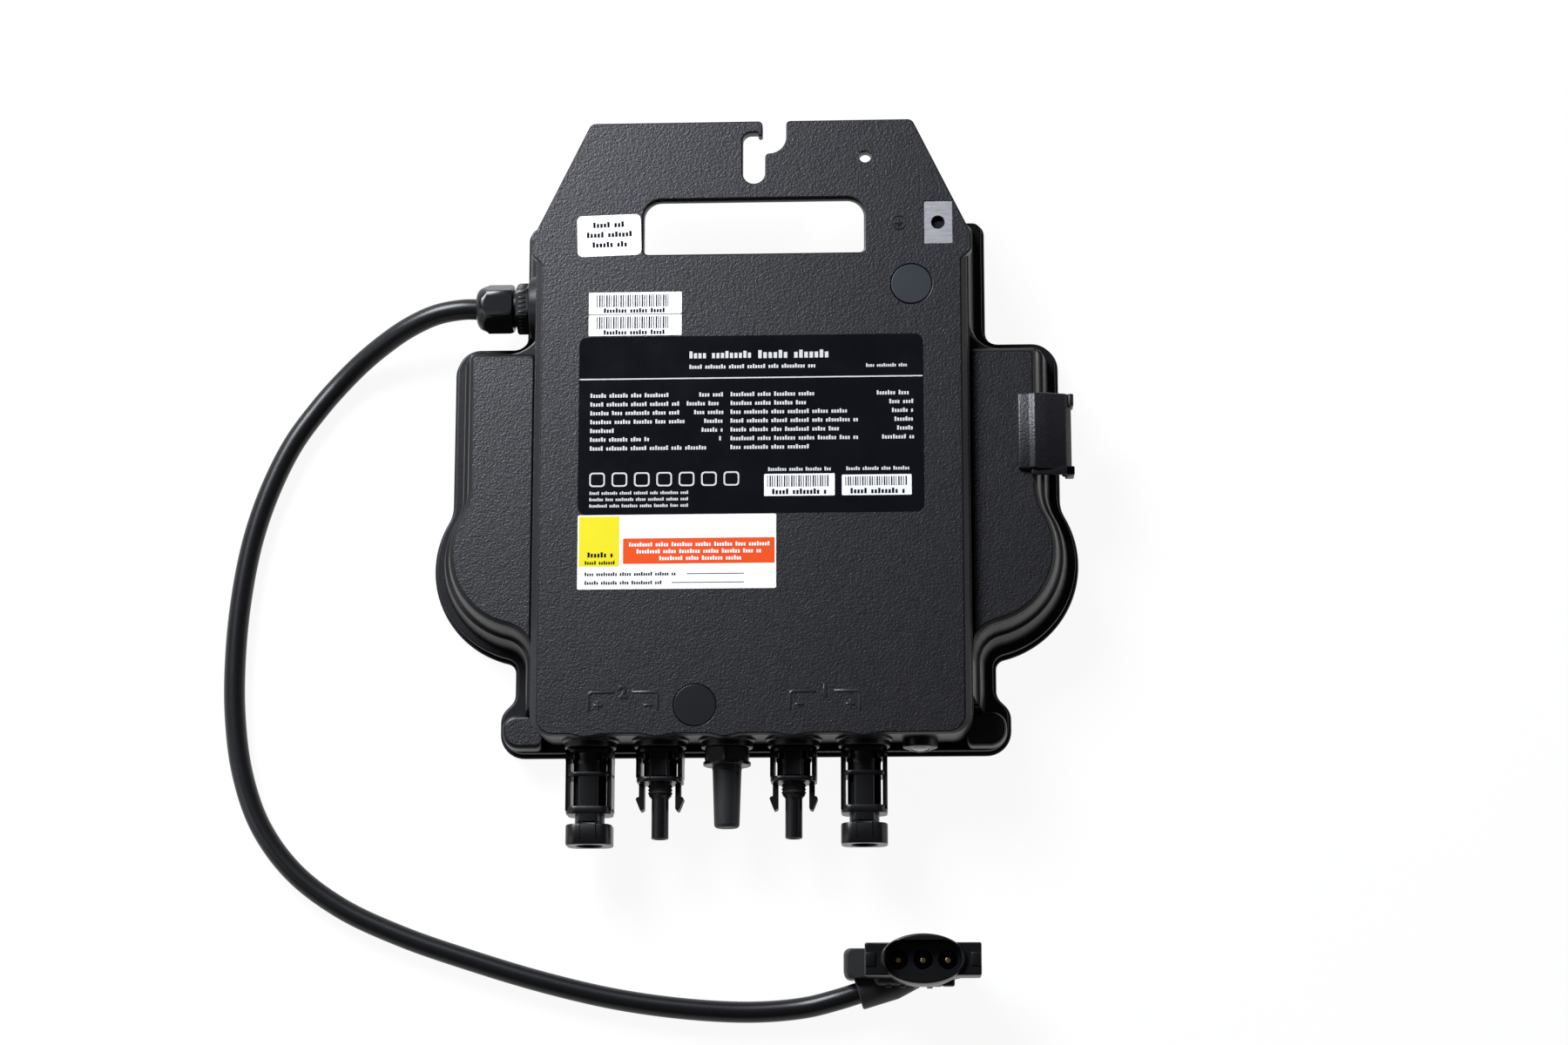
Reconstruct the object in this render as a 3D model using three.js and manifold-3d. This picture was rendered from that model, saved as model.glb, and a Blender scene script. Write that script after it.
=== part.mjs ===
// A micro inverter lying on its back: front face up, hanger plate towards +Y,
// DC couplers towards -Y, AC cable leaving on the left and lying on the same surface.
// Sizes are in millimetres. z = 0 is the back cover's outer face.

import * as THREE from 'three';
import * as BufferGeometryUtils from 'three/addons/utils/BufferGeometryUtils.js';
import Module from 'manifold-3d';

const wasm = await Module();
wasm.setup();

// Clearances
const SEAT_GAP = 0.3;
const RUNNING_GAP = 0.35;

// Depth of the body and the stack at its back
const BODY_DEPTH = 41.2;
const COVER_THICKNESS = 2.4;
const GASKET_THICKNESS = 0.9;
const HOUSING_BACK_Z = COVER_THICKNESS + GASKET_THICKNESS + 2 * SEAT_GAP;
const WALL = 3;

// Rim, the outline of the back cover. Widths step in or out from the body's half width.
const BODY_HALF_WIDTH = 131.1;
const BULGE_STANDOUT = 7;
const BULGE_RADIUS = 40.4;
const BULGE_FILLET = 14;
const BULGE_DROP = 92.9;
const SHOULDER_STEP = 29.6;
const SHOULDER_Y = 112;
const SHOULDER_CORNER = 5;
const WING_DROP = 52.1;
const WING_CORNER = 11;
const RECESS_STEP = 45.5;
const RECESS_DROP = 14;
const RECESS_SLANT = 5;
const WAIST_STEP = 26.8;
const WAIST_FILLET = 4;
const EAR_STANDOUT = 5.8;
const EAR_HEIGHT = 18;
const EAR_CORNER = 8;
const FOOT_Y = -111.2;
const FOOT_CORNER = 10;

// Tray, the low wide part of the housing with the wings
const FLANGE_INSET = 1.4;
const FLANGE_TOP_Z = 7.6;
const FLANGE_WIDTH = 2.8;
const LEDGE_DROP = 13;
const LEDGE_INSET = 6.8;
const LEDGE_WIDTH = 1.5;
const WING_TOP_DROP = 8.2;
const WING_TOP_INSET = 11.6;
const WING_EDGE_BEVEL = 1.3;

// Front panel block
const PANEL_SIDE_STEP = 10.4;
const PANEL_FOOT_STEP = 3.7;
const PANEL_SHOULDER_STEP = 13;
const PANEL_RECESS_STEP = 10.6;
const PANEL_CORNER = 7;
const PANEL_BEVEL_DROP = 2.6;
const PANEL_BEVEL_SIDE = 2.2;
const PANEL_BEVEL_FOOT = 0.5;
const PANEL_WALL_SPREAD = 3.1;
const FOOT_WALL_SETBACK = 0.7;
const WAVE_HALF_WIDTH = 7.4;
const WAVE_DEPTH = 1.2;

// Corner blocks beside the panel's foot, low pads on the ears where the tray ends above them
const CORNER_BLOCK_DROP = 26.2;
const CORNER_BLOCK_LENGTH = 16.7;
const CORNER_BLOCK_SIDE_SETBACK = 2.2;
const CORNER_BLOCK_TOP_SETBACK = 3.6;
const CORNER_BLOCK_BEVEL = 1.4;
const TRAY_FOOT_RISE = 10;

// Hanger plate
const HANGER_THICKNESS = 5.8;
const HANGER_HEIGHT = 55.8;
const HANGER_TOP_TAPER = 23.6;
const HANGER_SLANT_HEIGHT = 48.9;
const HANGER_STANDOUT = 4.5;
const HANGER_STEP_HEIGHT = 3.9;
const HANGER_ROOT = 10;
const HANGER_CENTRE_X = 1.1;
const HANDLE_SIDE = 44.3;
const HANDLE_HEIGHT = 22.8;
const HANDLE_TOP_CORNER = 7;
const HANDLE_LOW_CORNER = 1.8;
const SLOT_WIDTH = 9;
const SLOT_LENGTH = 21.5;
const SLOT_WEB = 6.6;
const HOOK_TIP_X = 3.5;
const HOOK_LIP_WIDTH = 1.8;
const HOOK_POCKET = 1.5;
const ENTRY_WIDTH = 9.5;
const ENTRY_DEPTH = 13.7;
const LANYARD_HOLE_X = 46;
const LANYARD_HOLE_DEPTH = 15.8;
const LANYARD_HOLE_RADIUS = 2.4;

// Bare earth patch with its blind hole
const EARTH_SIDE_DISTANCE = 13.5;
const EARTH_RISE = 12;
const EARTH_PATCH_WIDTH = 11.4;
const EARTH_PATCH_HEIGHT = 17.9;
const EARTH_PATCH_DEPTH = 0.5;
const EARTH_HOLE_RADIUS = 2.55;
const EARTH_HOLE_DEPTH = 4.6;

// Round fill plugs in the panel
const UPPER_PLUG_SIDE_DISTANCE = 19.8;
const UPPER_PLUG_DROP = 13.7;
const UPPER_PLUG_RADIUS = 8.1;
const LOWER_PLUG_X = -21.7;
const LOWER_PLUG_RISE = 11.2;
const LOWER_PLUG_RADIUS = 8.3;
const FILL_PLUG_HEAD = 1.4;
const FILL_PLUG_FLANGE = 2.2;
const FILL_PLUG_STEM_LENGTH = 4.4;

// Row of couplers on the foot wall
const COUPLER_AXIS_DROP = 21.2;
const BOSS_STANDOUT = 3.6;
const BOSS_RADIUS = 10.3;
const BOSS_CHAMFER = 0.7;
const STEM_RADIUS = 5.4;
const STEM_LENGTH = 11.2;
const SOCKET_SPACING = 54.4;
const PLUG_SPACING = 26.5;
const ANTENNA_X = -10.2;

// Wide DC coupler
const COUPLER_HALF_WIDTH = 9.15;
const COUPLER_HALF_HEIGHT = 8;
const COUPLER_CORE_RADIUS = 6;
const COUPLER_BASE = 1.8;
const COUPLER_RAIL = 1.8;
const COUPLER_RAIL_HALF_HEIGHT = 5.6;
const SOCKET_RIB_REACH = 10;
const SOCKET_RIB = 1.8;
const SOCKET_STOP = 3;
const SOCKET_NECK = 4;
const SOCKET_COLLAR = 8.2;
const SOCKET_LENGTH = 38.5;
const SOCKET_COLLAR_HALF_WIDTH = 9.2;
const SOCKET_STRIP_HALF_WIDTH = 4.2;
const SOCKET_MOUTH_RADIUS = 5.3;
const SOCKET_MOUTH_DEPTH = 7;
const SOCKET_BORE_RADIUS = 4.7;
const SOCKET_BORE_DEPTH = 25.2;
const SOCKET_PIN_RADIUS = 2;
const SOCKET_PIN_DEPTH = 8.8;

// Slim DC coupler
const PLUG_HOUSING_LENGTH = 13.7;
const PLUG_PLATE = 2;
const PLUG_BARREL_RADIUS = 3.4;
const PLUG_NOSE_LENGTH = 22.1;
const PLUG_BORE_RADIUS = 2.5;
const PLUG_BORE_DEPTH = 18.5;
const PLUG_SEAL_RADIUS = 5;
const PLUG_SEAL_LENGTH = 4.4;
const SLEEVE_BORE_RADIUS = 1.4;
const SLEEVE_BORE_DEPTH = 12;
const ARM_OFFSET = 7.2;
const ARM_THICKNESS = 1.7;
const ARM_HALF_HEIGHT = 2.6;
const ARM_LENGTH = 10.6;
const ARM_BARB_REACH = 6.1;
const ARM_BARB = 1.3;

// Antenna
const ANTENNA_HEX_RADIUS = 9.9;
const ANTENNA_HEX_LENGTH = 5.5;
const ANTENNA_FLANGE_RADIUS = 9.5;
const ANTENNA_FLANGE = 1.2;
const ANTENNA_CAP_RADIUS = 5.9;
const ANTENNA_TIP_RADIUS = 5;
const ANTENNA_CAP_LENGTH = 24.5;
const ANTENNA_BORE_RADIUS = 3.2;
const ANTENNA_ROD_RADIUS = 1.3;
const ANTENNA_ROD_LENGTH = 19.3;

// Indicator lens
const LENS_SPACING = 22.2;
const LENS_DROP = 3.4;
const LENS_RADIUS = 4.7;
const LENS_SETBACK = 0.2;
const LENS_LENGTH = 6;
const LENS_DOME = 0.7;
const LENS_BOSS_RADIUS = 7;
const LENS_TILT = THREE.MathUtils.degToRad(-9);

// Cable gland on the left wall
const GLAND_RISE = 12.3;
const GLAND_BOSS_RADIUS = 12.4;
const GLAND_BOSS_SPREAD = 1.9;
const GLAND_BOSS_LENGTH = 6.8;
const GLAND_STEM_RADIUS = 7.6;
const GLAND_STEM_LENGTH = 13.3;
const GLAND_HEX_RADIUS = 10.9;
const GLAND_HEX_LENGTH = 5.1;
const GLAND_SPIGOT_RADIUS = 7.5;
const GLAND_SPIGOT_LENGTH = 9.3;
const NUT_GAP = 1.7;
const NUT_LENGTH = 14.8;
const NUT_HEX_RADIUS = 10.4;
const NUT_DOME = 3.6;
const NUT_MOUTH_RADIUS = 6.4;
const NUT_LIP = 1.6;
const GLAND_CORE_BORE_RADIUS = 3.4;
const GLAND_SEAL_LENGTH = 4.8;
const GLAND_SEAL_RADIUS = 6.9;
const LOCKNUT_RADIUS = 11;
const LOCKNUT_THICKNESS = 3;

// AC cable
const CABLE_RADIUS = 4.25;
const CABLE_SIDES = 8;
const CABLE_STEPS = 38;
const CABLE_REST_Z = 4.6;

// AC plug at the cable's end
const AC_PLUG_X = 66.8;
const AC_PLUG_Y = -195.3;
const AC_PLUG_TOP_Z = 36;
const AC_PLUG_HALF_LENGTH = 22.6;
const AC_PLUG_HALF_WIDTH = 6.4;
const AC_PLUG_BULGE_HALF_WIDTH = 9.8;
const AC_PLUG_BULGE_HALF_LENGTH = 16.6;
const AC_PLUG_SPLIT_Z = 19;
const AC_PLUG_RECESS_HALF_LENGTH = 15.6;
const AC_PLUG_RECESS_HALF_WIDTH = 7.2;
const AC_PLUG_RECESS_DEPTH = 6;
const AC_PIN_PITCH = 9.7;
const AC_PIN_RADIUS = 1.25;
const AC_PIN_WELL_RADIUS = 4;
const AC_PIN_WELL_DEPTH = 15;
const AC_PIN_TOP_DEPTH = 7.4;
const AC_BACK_LEFT_X = 35.6;
const AC_BACK_RIGHT_X = 84.6;
const AC_BACK_HALF_WIDTH = 5.9;
const AC_BACK_BOTTOM_Z = 1;
const AC_BARREL_RADIUS = 6.8;
const AC_BARREL_Z = 7.4;
const AC_BARREL_MOUTH_X = 41.5;
const AC_BARREL_MOUTH_Y = -206.4;
const AC_BARREL_LENGTH = 24;
const AC_BARREL_ANGLE = THREE.MathUtils.degToRad(17);

// Clip over the right wing's edge
const CLIP_DROP = 29.9;
const CLIP_LENGTH = 33.4;
const CLIP_INNER_STEP = 18;
const CLIP_RIDGE = 7.5;
const CLIP_STANDOUT = 3.5;
const CLIP_RIDGE_HEIGHT = 3.4;
const CLIP_EDGE_HEIGHT = 1.6;
const CLIP_WALL = 2.6;
const CLIP_REACH = 13.8;
const CLIP_LIP = 0.9;
const CLIP_LIP_LENGTH = 4.4;
const CLIP_PEG_RADIUS = 1.8;
const CLIP_PEG_LENGTH = 2.2;

// Fasteners
const COVER_SCREW_EDGE = 13;
const COVER_SCREW_HEAD_RADIUS = 3.4;
const COVER_SCREW_HEAD = 1.7;
const COVER_SCREW_RADIUS = 1.7;
const COVER_SCREW_LENGTH = 11;
const SCREW_BOSS_RADIUS = 4.2;
const BOARD_SCREW_HEAD_RADIUS = 2.8;
const BOARD_SCREW_HEAD = 1.8;
const BOARD_SCREW_RADIUS = 1.3;
const BOARD_SCREW_LENGTH = 8;
const POST_RADIUS = 3.6;

// Board and what stands on it
const BOARD_MARGIN = 4.1;
const BOARD_THICKNESS = 1.6;
const BOARD_LIFT = 4.7;
const POST_INSET = 6;
const UPPER_POST_DROP = 36;
const LOWER_POST_RISE = 9;
const PART_PITCH = 22;
const TRANSFORMER_X = 33;
const TRANSFORMER_Y = -22;
const TRANSFORMER_WIDTH = 38;
const TRANSFORMER_DEPTH = 32;
const TRANSFORMER_HEADROOM = 5.7;
const WINDING_RADIUS = 18;
const WINDING_HEIGHT = 12;
const CAPACITOR_X = -34;
const CAPACITOR_Y = -66;
const CAPACITOR_RADIUS = 9;
const CAPACITOR_HEADROOM = 2.7;
const CHOKE_X = 34;
const CHOKE_Y = -66;
const CHOKE_RADIUS = 16;
const CHOKE_HOLE_RADIUS = 7;
const CHOKE_HEIGHT = 15;
const RELAY_X = -26;
const RELAY_Y = 42;
const RELAY_SIZE = [29, 12.7, 16];
const HEAT_BAR_X = 0;
const HEAT_BAR_Y = 12;
const HEAT_BAR_SIZE = [96, 9];
const RADIO_X = 44;
const RADIO_Y = 60;
const RADIO_SIZE = [26, 18, 4.2];
const DC_TERMINAL_SIZE = [70, 8, 16];
const TERMINAL_EDGE = 5;
const AC_TERMINAL_SIZE = [12, 14, 16];

// Places that follow from the sizes above: the rim and the panel
const WING_HALF_WIDTH = BODY_HALF_WIDTH - BULGE_STANDOUT;
const WING_TOP_Y = SHOULDER_Y - WING_DROP;
const BULGE_X = BODY_HALF_WIDTH - BULGE_RADIUS;
const BULGE_Y = WING_TOP_Y - BULGE_DROP;
const SHOULDER_HALF_WIDTH = WING_HALF_WIDTH - SHOULDER_STEP;
const RECESS_HALF_WIDTH = SHOULDER_HALF_WIDTH - RECESS_STEP;
const RECESS_Y = SHOULDER_Y - RECESS_DROP;
const WAIST_HALF_WIDTH = WING_HALF_WIDTH - WAIST_STEP;
const EAR_HALF_WIDTH = WAIST_HALF_WIDTH + EAR_STANDOUT;
const EAR_TOP_Y = FOOT_Y + EAR_HEIGHT;
const EAR_NECK_Y = EAR_TOP_Y + EAR_STANDOUT;
const PANEL_HALF_WIDTH = SHOULDER_HALF_WIDTH - PANEL_SIDE_STEP;
const PANEL_FOOT_Y = FOOT_Y + PANEL_FOOT_STEP;
const PANEL_SHOULDER_Y = SHOULDER_Y - PANEL_SHOULDER_STEP;
const PANEL_RECESS_Y = RECESS_Y - PANEL_RECESS_STEP;
const PANEL_WALL_TOP_Z = BODY_DEPTH - PANEL_BEVEL_DROP;
const CORNER_BLOCK_TOP_Z = BODY_DEPTH - CORNER_BLOCK_DROP;
const LEDGE_Z = BODY_DEPTH - WING_TOP_DROP - LEDGE_DROP;
const WING_TOP_Z = BODY_DEPTH - WING_TOP_DROP;
const ROOF_Z = BODY_DEPTH - WALL;

// The hanger plate and the front panel's fittings
const HANDLE_LOW_Y = PANEL_RECESS_Y + 0.5;
const HANDLE_HIGH_Y = HANDLE_LOW_Y + HANDLE_HEIGHT;
const HANGER_TOP_Y = HANDLE_LOW_Y + HANGER_HEIGHT;
const HANGER_LOW_Z = BODY_DEPTH - HANGER_THICKNESS;
const HANGER_HALF_WIDTH = PANEL_HALF_WIDTH + HANGER_STANDOUT;
const HANGER_TOP_HALF_WIDTH = HANGER_HALF_WIDTH - HANGER_TOP_TAPER;
const HANGER_SLANT_Y = HANGER_TOP_Y - HANGER_SLANT_HEIGHT;
const HANGER_NECK_Y = HANDLE_LOW_Y - 3.5;
const HANGER_STEP_Y = HANGER_NECK_Y + HANGER_STEP_HEIGHT;
const HANDLE_HALF_WIDTH = Math.min(HANDLE_SIDE, RECESS_HALF_WIDTH - HANGER_CENTRE_X);
const SLOT_LOW_Y = HANDLE_HIGH_Y + SLOT_WEB;
const SLOT_HIGH_Y = SLOT_LOW_Y + SLOT_LENGTH;
const HOOK_TIP_Y = SLOT_HIGH_Y - HOOK_POCKET;
const ENTRY_FLOOR_Y = HANGER_TOP_Y - ENTRY_DEPTH;
const LANYARD_HOLE_Y = HANGER_TOP_Y - LANYARD_HOLE_DEPTH;
const EARTH_X = HANGER_HALF_WIDTH - EARTH_SIDE_DISTANCE;
const EARTH_Y = HANDLE_LOW_Y + EARTH_RISE;
const FILL_PLUGS = [
  {
    name: 'fill_plug_upper',
    x: PANEL_HALF_WIDTH - UPPER_PLUG_SIDE_DISTANCE,
    y: HANDLE_LOW_Y - UPPER_PLUG_DROP,
    radius: UPPER_PLUG_RADIUS,
  },
  {
    name: 'fill_plug_lower',
    x: LOWER_PLUG_X,
    y: PANEL_FOOT_Y + LOWER_PLUG_RISE,
    radius: LOWER_PLUG_RADIUS,
  },
];

// The couplers, the antenna and the lens on the foot wall
const COUPLER_AXIS_Z = BODY_DEPTH - COUPLER_AXIS_DROP;
const SOCKET_XS = [ANTENNA_X - SOCKET_SPACING, ANTENNA_X + SOCKET_SPACING];
const PLUG_XS = [ANTENNA_X - PLUG_SPACING, ANTENNA_X + PLUG_SPACING];
const FOOT_WALL_Y = PANEL_FOOT_Y + FOOT_WALL_SETBACK;
const BOSS_FACE_Y = FOOT_WALL_Y - BOSS_STANDOUT;
const COUPLER_BASE_Y = BOSS_FACE_Y - SEAT_GAP;
const STEM_END_Y = COUPLER_BASE_Y + STEM_LENGTH;
const SOCKET_RIB_Y = COUPLER_BASE_Y - SOCKET_RIB_REACH;
const SOCKET_END_Y = COUPLER_BASE_Y - SOCKET_LENGTH;
const SOCKET_COLLAR_Y = SOCKET_END_Y + SOCKET_COLLAR;
const SOCKET_NECK_Y = SOCKET_COLLAR_Y + SOCKET_NECK;
const SOCKET_STOP_Y = SOCKET_NECK_Y + SOCKET_STOP;
const SOCKET_BORE_END_Y = SOCKET_END_Y + SOCKET_BORE_DEPTH;
const SOCKET_PIN_TIP_Y = SOCKET_END_Y + SOCKET_PIN_DEPTH;
const PLUG_PLATE_END_Y = COUPLER_BASE_Y - PLUG_HOUSING_LENGTH;
const PLUG_PLATE_Y = PLUG_PLATE_END_Y + PLUG_PLATE;
const PLUG_TIP_Y = PLUG_PLATE_END_Y - PLUG_NOSE_LENGTH;
const PLUG_BORE_END_Y = PLUG_TIP_Y + PLUG_BORE_DEPTH;
const ANTENNA_HEX_END_Y = COUPLER_BASE_Y - ANTENNA_HEX_LENGTH;
const LENS_X = SOCKET_XS[1] + LENS_SPACING;
const LENS_Z = COUPLER_AXIS_Z - LENS_DROP;
const LENS_FACE_Y = BOSS_FACE_Y + LENS_SETBACK;

// The gland and the clip
const GLAND_Y = WING_TOP_Y + GLAND_RISE;
const GLAND_Z = COUPLER_AXIS_Z;
const GLAND_BOSS_FACE_X = -PANEL_HALF_WIDTH - GLAND_BOSS_LENGTH;
const GLAND_STEM_END_X = GLAND_BOSS_FACE_X + GLAND_STEM_LENGTH;
const GLAND_HEX_END_X = GLAND_BOSS_FACE_X - SEAT_GAP - GLAND_HEX_LENGTH;
const GLAND_SPIGOT_END_X = GLAND_HEX_END_X - GLAND_SPIGOT_LENGTH;
const NUT_START_X = GLAND_HEX_END_X - NUT_GAP;
const NUT_END_X = NUT_START_X - NUT_LENGTH;
const CLIP_HIGH_Y = WING_TOP_Y - CLIP_DROP;
const CLIP_LOW_Y = CLIP_HIGH_Y - CLIP_LENGTH;
const CLIP_INNER_X = WING_HALF_WIDTH - CLIP_INNER_STEP;
const CLIP_RIDGE_X = CLIP_INNER_X + CLIP_RIDGE;
const CLIP_OUTER_X = WING_HALF_WIDTH + CLIP_STANDOUT;
const CLIP_REACH_Z = WING_TOP_Z + SEAT_GAP - CLIP_REACH;

// The board, its posts and what stands on it
const BOARD_Z = HOUSING_BACK_Z + BOARD_LIFT;
const BOARD_TOP_Z = BOARD_Z + BOARD_THICKNESS;
const PART_Z = BOARD_TOP_Z + SEAT_GAP;
const BOARD_HALF_WIDTH = PANEL_HALF_WIDTH - WALL - BOARD_MARGIN;
const BOARD_LOW_Y = PANEL_FOOT_Y + WALL + 2 * BOARD_MARGIN;
const BOARD_HIGH_Y = PANEL_RECESS_Y - WALL - BOARD_MARGIN;
const POST_X = BOARD_HALF_WIDTH - POST_INSET;
const POST_YS = [BOARD_HIGH_Y - UPPER_POST_DROP, BOARD_LOW_Y + LOWER_POST_RISE];
const TRANSFORMER_HEIGHT = ROOF_Z - PART_Z - TRANSFORMER_HEADROOM;
const CAPACITOR_HEIGHT = ROOF_Z - PART_Z - CAPACITOR_HEADROOM;
const DC_TERMINAL_Y = BOARD_LOW_Y + TERMINAL_EDGE + DC_TERMINAL_SIZE[1] / 2;
const AC_TERMINAL_X = -BOARD_HALF_WIDTH + TERMINAL_EDGE + AC_TERMINAL_SIZE[0] / 2;
const ORIGIN_Y = (SOCKET_END_Y + HANGER_TOP_Y) / 2;

// Finishes
const finish = (color, roughness, metalness) =>
  new THREE.MeshStandardMaterial({ color, roughness, metalness });
const castBlack = finish(0x2b2c2f, 0.6, 0.3);
const blackPlastic = finish(0x17181a, 0.4, 0);
const blackRubber = finish(0x141414, 0.85, 0);
const greyPlastic = finish(0x2e3336, 0.5, 0);
const clearLens = finish(0x9a9c9c, 0.15, 0);
const steel = finish(0x8f9194, 0.35, 1);
const brass = finish(0xd8b25a, 0.3, 1);
const boardGreen = finish(0x1f5a37, 0.55, 0);
const ferrite = finish(0x3a3a3d, 0.7, 0);
const copper = finish(0xb06a3a, 0.4, 1);
const foil = finish(0x2a4fa0, 0.4, 0);
const bareAluminium = finish(0xb9bbbd, 0.4, 1);

// Solids and geometry

function closedMesh(geometry) {
  const bare = geometry.index ? geometry.toNonIndexed() : geometry.clone();
  for (const attribute of ['normal', 'uv']) {
    bare.deleteAttribute(attribute);
  }
  const merged = BufferGeometryUtils.mergeVertices(bare, 1e-4);
  const index = Array.from(merged.index.array);
  const kept = [];
  for (let i = 0; i < index.length; i += 3) {
    const [a, b, c] = index.slice(i, i + 3);
    if (a !== b && b !== c && c !== a) {
      kept.push(a, b, c);
    }
  }
  merged.setIndex(kept);
  return signedVolume(merged) < 0 ? turnedInsideOut(merged) : merged;
}

function signedVolume(geometry) {
  const position = geometry.attributes.position;
  const corners = [0, 1, 2].map(() => new THREE.Vector3());
  const index = geometry.index.array;
  let volume = 0;
  for (let i = 0; i < index.length; i += 3) {
    corners.forEach((corner, k) => corner.fromBufferAttribute(position, index[i + k]));
    volume += corners[0].dot(corners[1].clone().cross(corners[2])) / 6;
  }
  return volume;
}

function turnedInsideOut(geometry) {
  const index = Array.from(geometry.index.array);
  for (let i = 0; i < index.length; i += 3) {
    [index[i], index[i + 1]] = [index[i + 1], index[i]];
  }
  geometry.setIndex(index);
  return geometry;
}

function solid(geometry) {
  const mesh = closedMesh(geometry);
  return new wasm.Manifold(new wasm.Mesh({
    numProp: 3,
    vertProperties: new Float32Array(mesh.attributes.position.array),
    triVerts: new Uint32Array(mesh.index.array),
  }));
}

function joined(...geometries) {
  return geometries.map(solid).reduce((sum, next) => sum.add(next));
}

function toGeometry(body) {
  const mesh = body.getMesh();
  const geometry = new THREE.BufferGeometry();
  geometry.setAttribute('position', new THREE.BufferAttribute(mesh.vertProperties, 3));
  geometry.setIndex(new THREE.BufferAttribute(mesh.triVerts, 1));
  geometry.computeVertexNormals();
  return geometry;
}

function box([x0, x1], [y0, y1], [z0, z1]) {
  const geometry = new THREE.BoxGeometry(x1 - x0, y1 - y0, z1 - z0);
  return geometry.translate((x0 + x1) / 2, (y0 + y1) / 2, (z0 + z1) / 2);
}

// A profile of [radius, height] pairs turned round the Y axis
function turned(profile, segments) {
  return new THREE.LatheGeometry(profile.map(([r, h]) => new THREE.Vector2(r, h)), segments);
}

function turnedX(profile, segments) {
  return turned(profile, segments).rotateY(Math.PI / segments).rotateZ(-Math.PI / 2);
}

function turnedZ(profile, segments) {
  return turned(profile, segments).rotateX(Math.PI / 2);
}

function rodY(radius, y0, y1, segments) {
  return turned([[0, y0], [radius, y0], [radius, y1], [0, y1]], segments);
}

function rodX(radius, x0, x1, segments) {
  return turnedX([[0, x0], [radius, x0], [radius, x1], [0, x1]], segments);
}

function rodZ(radius, z0, z1, segments) {
  return turnedZ([[0, z0], [radius, z0], [radius, z1], [0, z1]], segments);
}

// Corners of an outline run anticlockwise: x, y, fillet radius, steps in the fillet.
// A corner may name the kind of edge that leaves it, and an inset can differ by kind.
function corner(x, y, radius = 0, steps = 3, kind = 'side') {
  return { x, y, radius, steps, kind };
}

function rectangle(x0, x1, y0, y1, radius, steps = 3) {
  return [[x0, y0], [x1, y0], [x1, y1], [x0, y1]].map(([x, y]) => corner(x, y, radius, steps));
}

function roundedOutline(corners, insets = { side: 0, foot: 0 }) {
  const moved = insetCorners(corners, insets);
  const setbacks = cornerSetbacks(moved);
  return moved.flatMap((point, i) => filletPoints(moved, i, setbacks[i]));
}

function insetCorners(corners, insets) {
  const count = corners.length;
  const edges = corners.map((from, i) => {
    const to = corners[(i + 1) % count];
    const length = Math.hypot(to.x - from.x, to.y - from.y);
    const direction = [(to.x - from.x) / length, (to.y - from.y) / length];
    const inset = insets[from.kind];
    const start = [from.x - direction[1] * inset, from.y + direction[0] * inset];
    return { direction, start, inset };
  });
  return corners.map((point, i) => {
    const before = edges[(i + count - 1) % count];
    const after = edges[i];
    const turn = cross(before.direction, after.direction);
    const gap = [after.start[0] - before.start[0], after.start[1] - before.start[1]];
    const along = Math.abs(turn) < 1e-6 ? 0 : cross(gap, after.direction) / turn;
    const base = Math.abs(turn) < 1e-6 ? after.start : before.start;
    const inset = (before.inset + after.inset) / 2;
    const radius = turn > 0 ? point.radius - inset : point.radius + inset;
    return {
      ...point,
      x: base[0] + before.direction[0] * along,
      y: base[1] + before.direction[1] * along,
      radius: point.radius > 0 ? Math.max(radius, 0.5) : 0,
    };
  });
}

function cross(a, b) {
  return a[0] * b[1] - a[1] * b[0];
}

function cornerFrame(points, i) {
  const count = points.length;
  const here = points[i];
  const from = points[(i + count - 1) % count];
  const to = points[(i + 1) % count];
  const before = new THREE.Vector2(here.x - from.x, here.y - from.y);
  const after = new THREE.Vector2(to.x - here.x, to.y - here.y);
  const turn = Math.atan2(before.cross(after), before.dot(after));
  return { before: before.normalize(), after: after.normalize(), turn };
}

// A fillet is limited by the edges it lies on, the wider of two neighbours first
function cornerSetbacks(points) {
  const setbacks = points.map((point, i) =>
    point.radius * Math.tan(Math.abs(cornerFrame(points, i).turn) / 2));
  points.forEach((point, i) => {
    const next = (i + 1) % points.length;
    const length = Math.hypot(points[next].x - point.x, points[next].y - point.y);
    const excess = setbacks[i] + setbacks[next] - 0.999 * length;
    const giving = setbacks[i] > setbacks[next] === (point.radius < BULGE_RADIUS / 2) ? i : next;
    setbacks[giving] = excess > 0 ? Math.max(setbacks[giving] - excess, 0) : setbacks[giving];
  });
  return setbacks;
}

function filletPoints(points, i, setback) {
  const { before, after, turn } = cornerFrame(points, i);
  const here = points[i];
  if (points[i].radius === 0) {
    return [new THREE.Vector2(here.x, here.y)];
  }
  const reach = Math.max(setback, 0.02);
  const radius = reach / Math.tan(Math.abs(turn) / 2);
  const side = Math.sign(turn);
  const startX = here.x - before.x * reach;
  const startY = here.y - before.y * reach;
  const centreX = startX - side * before.y * radius;
  const centreY = startY + side * before.x * radius;
  const startAngle = Math.atan2(startY - centreY, startX - centreX);
  return Array.from({ length: here.steps + 1 }, (_, k) => {
    const angle = startAngle + (turn * k) / here.steps;
    return new THREE.Vector2(centreX + radius * Math.cos(angle), centreY + radius * Math.sin(angle));
  });
}

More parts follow.
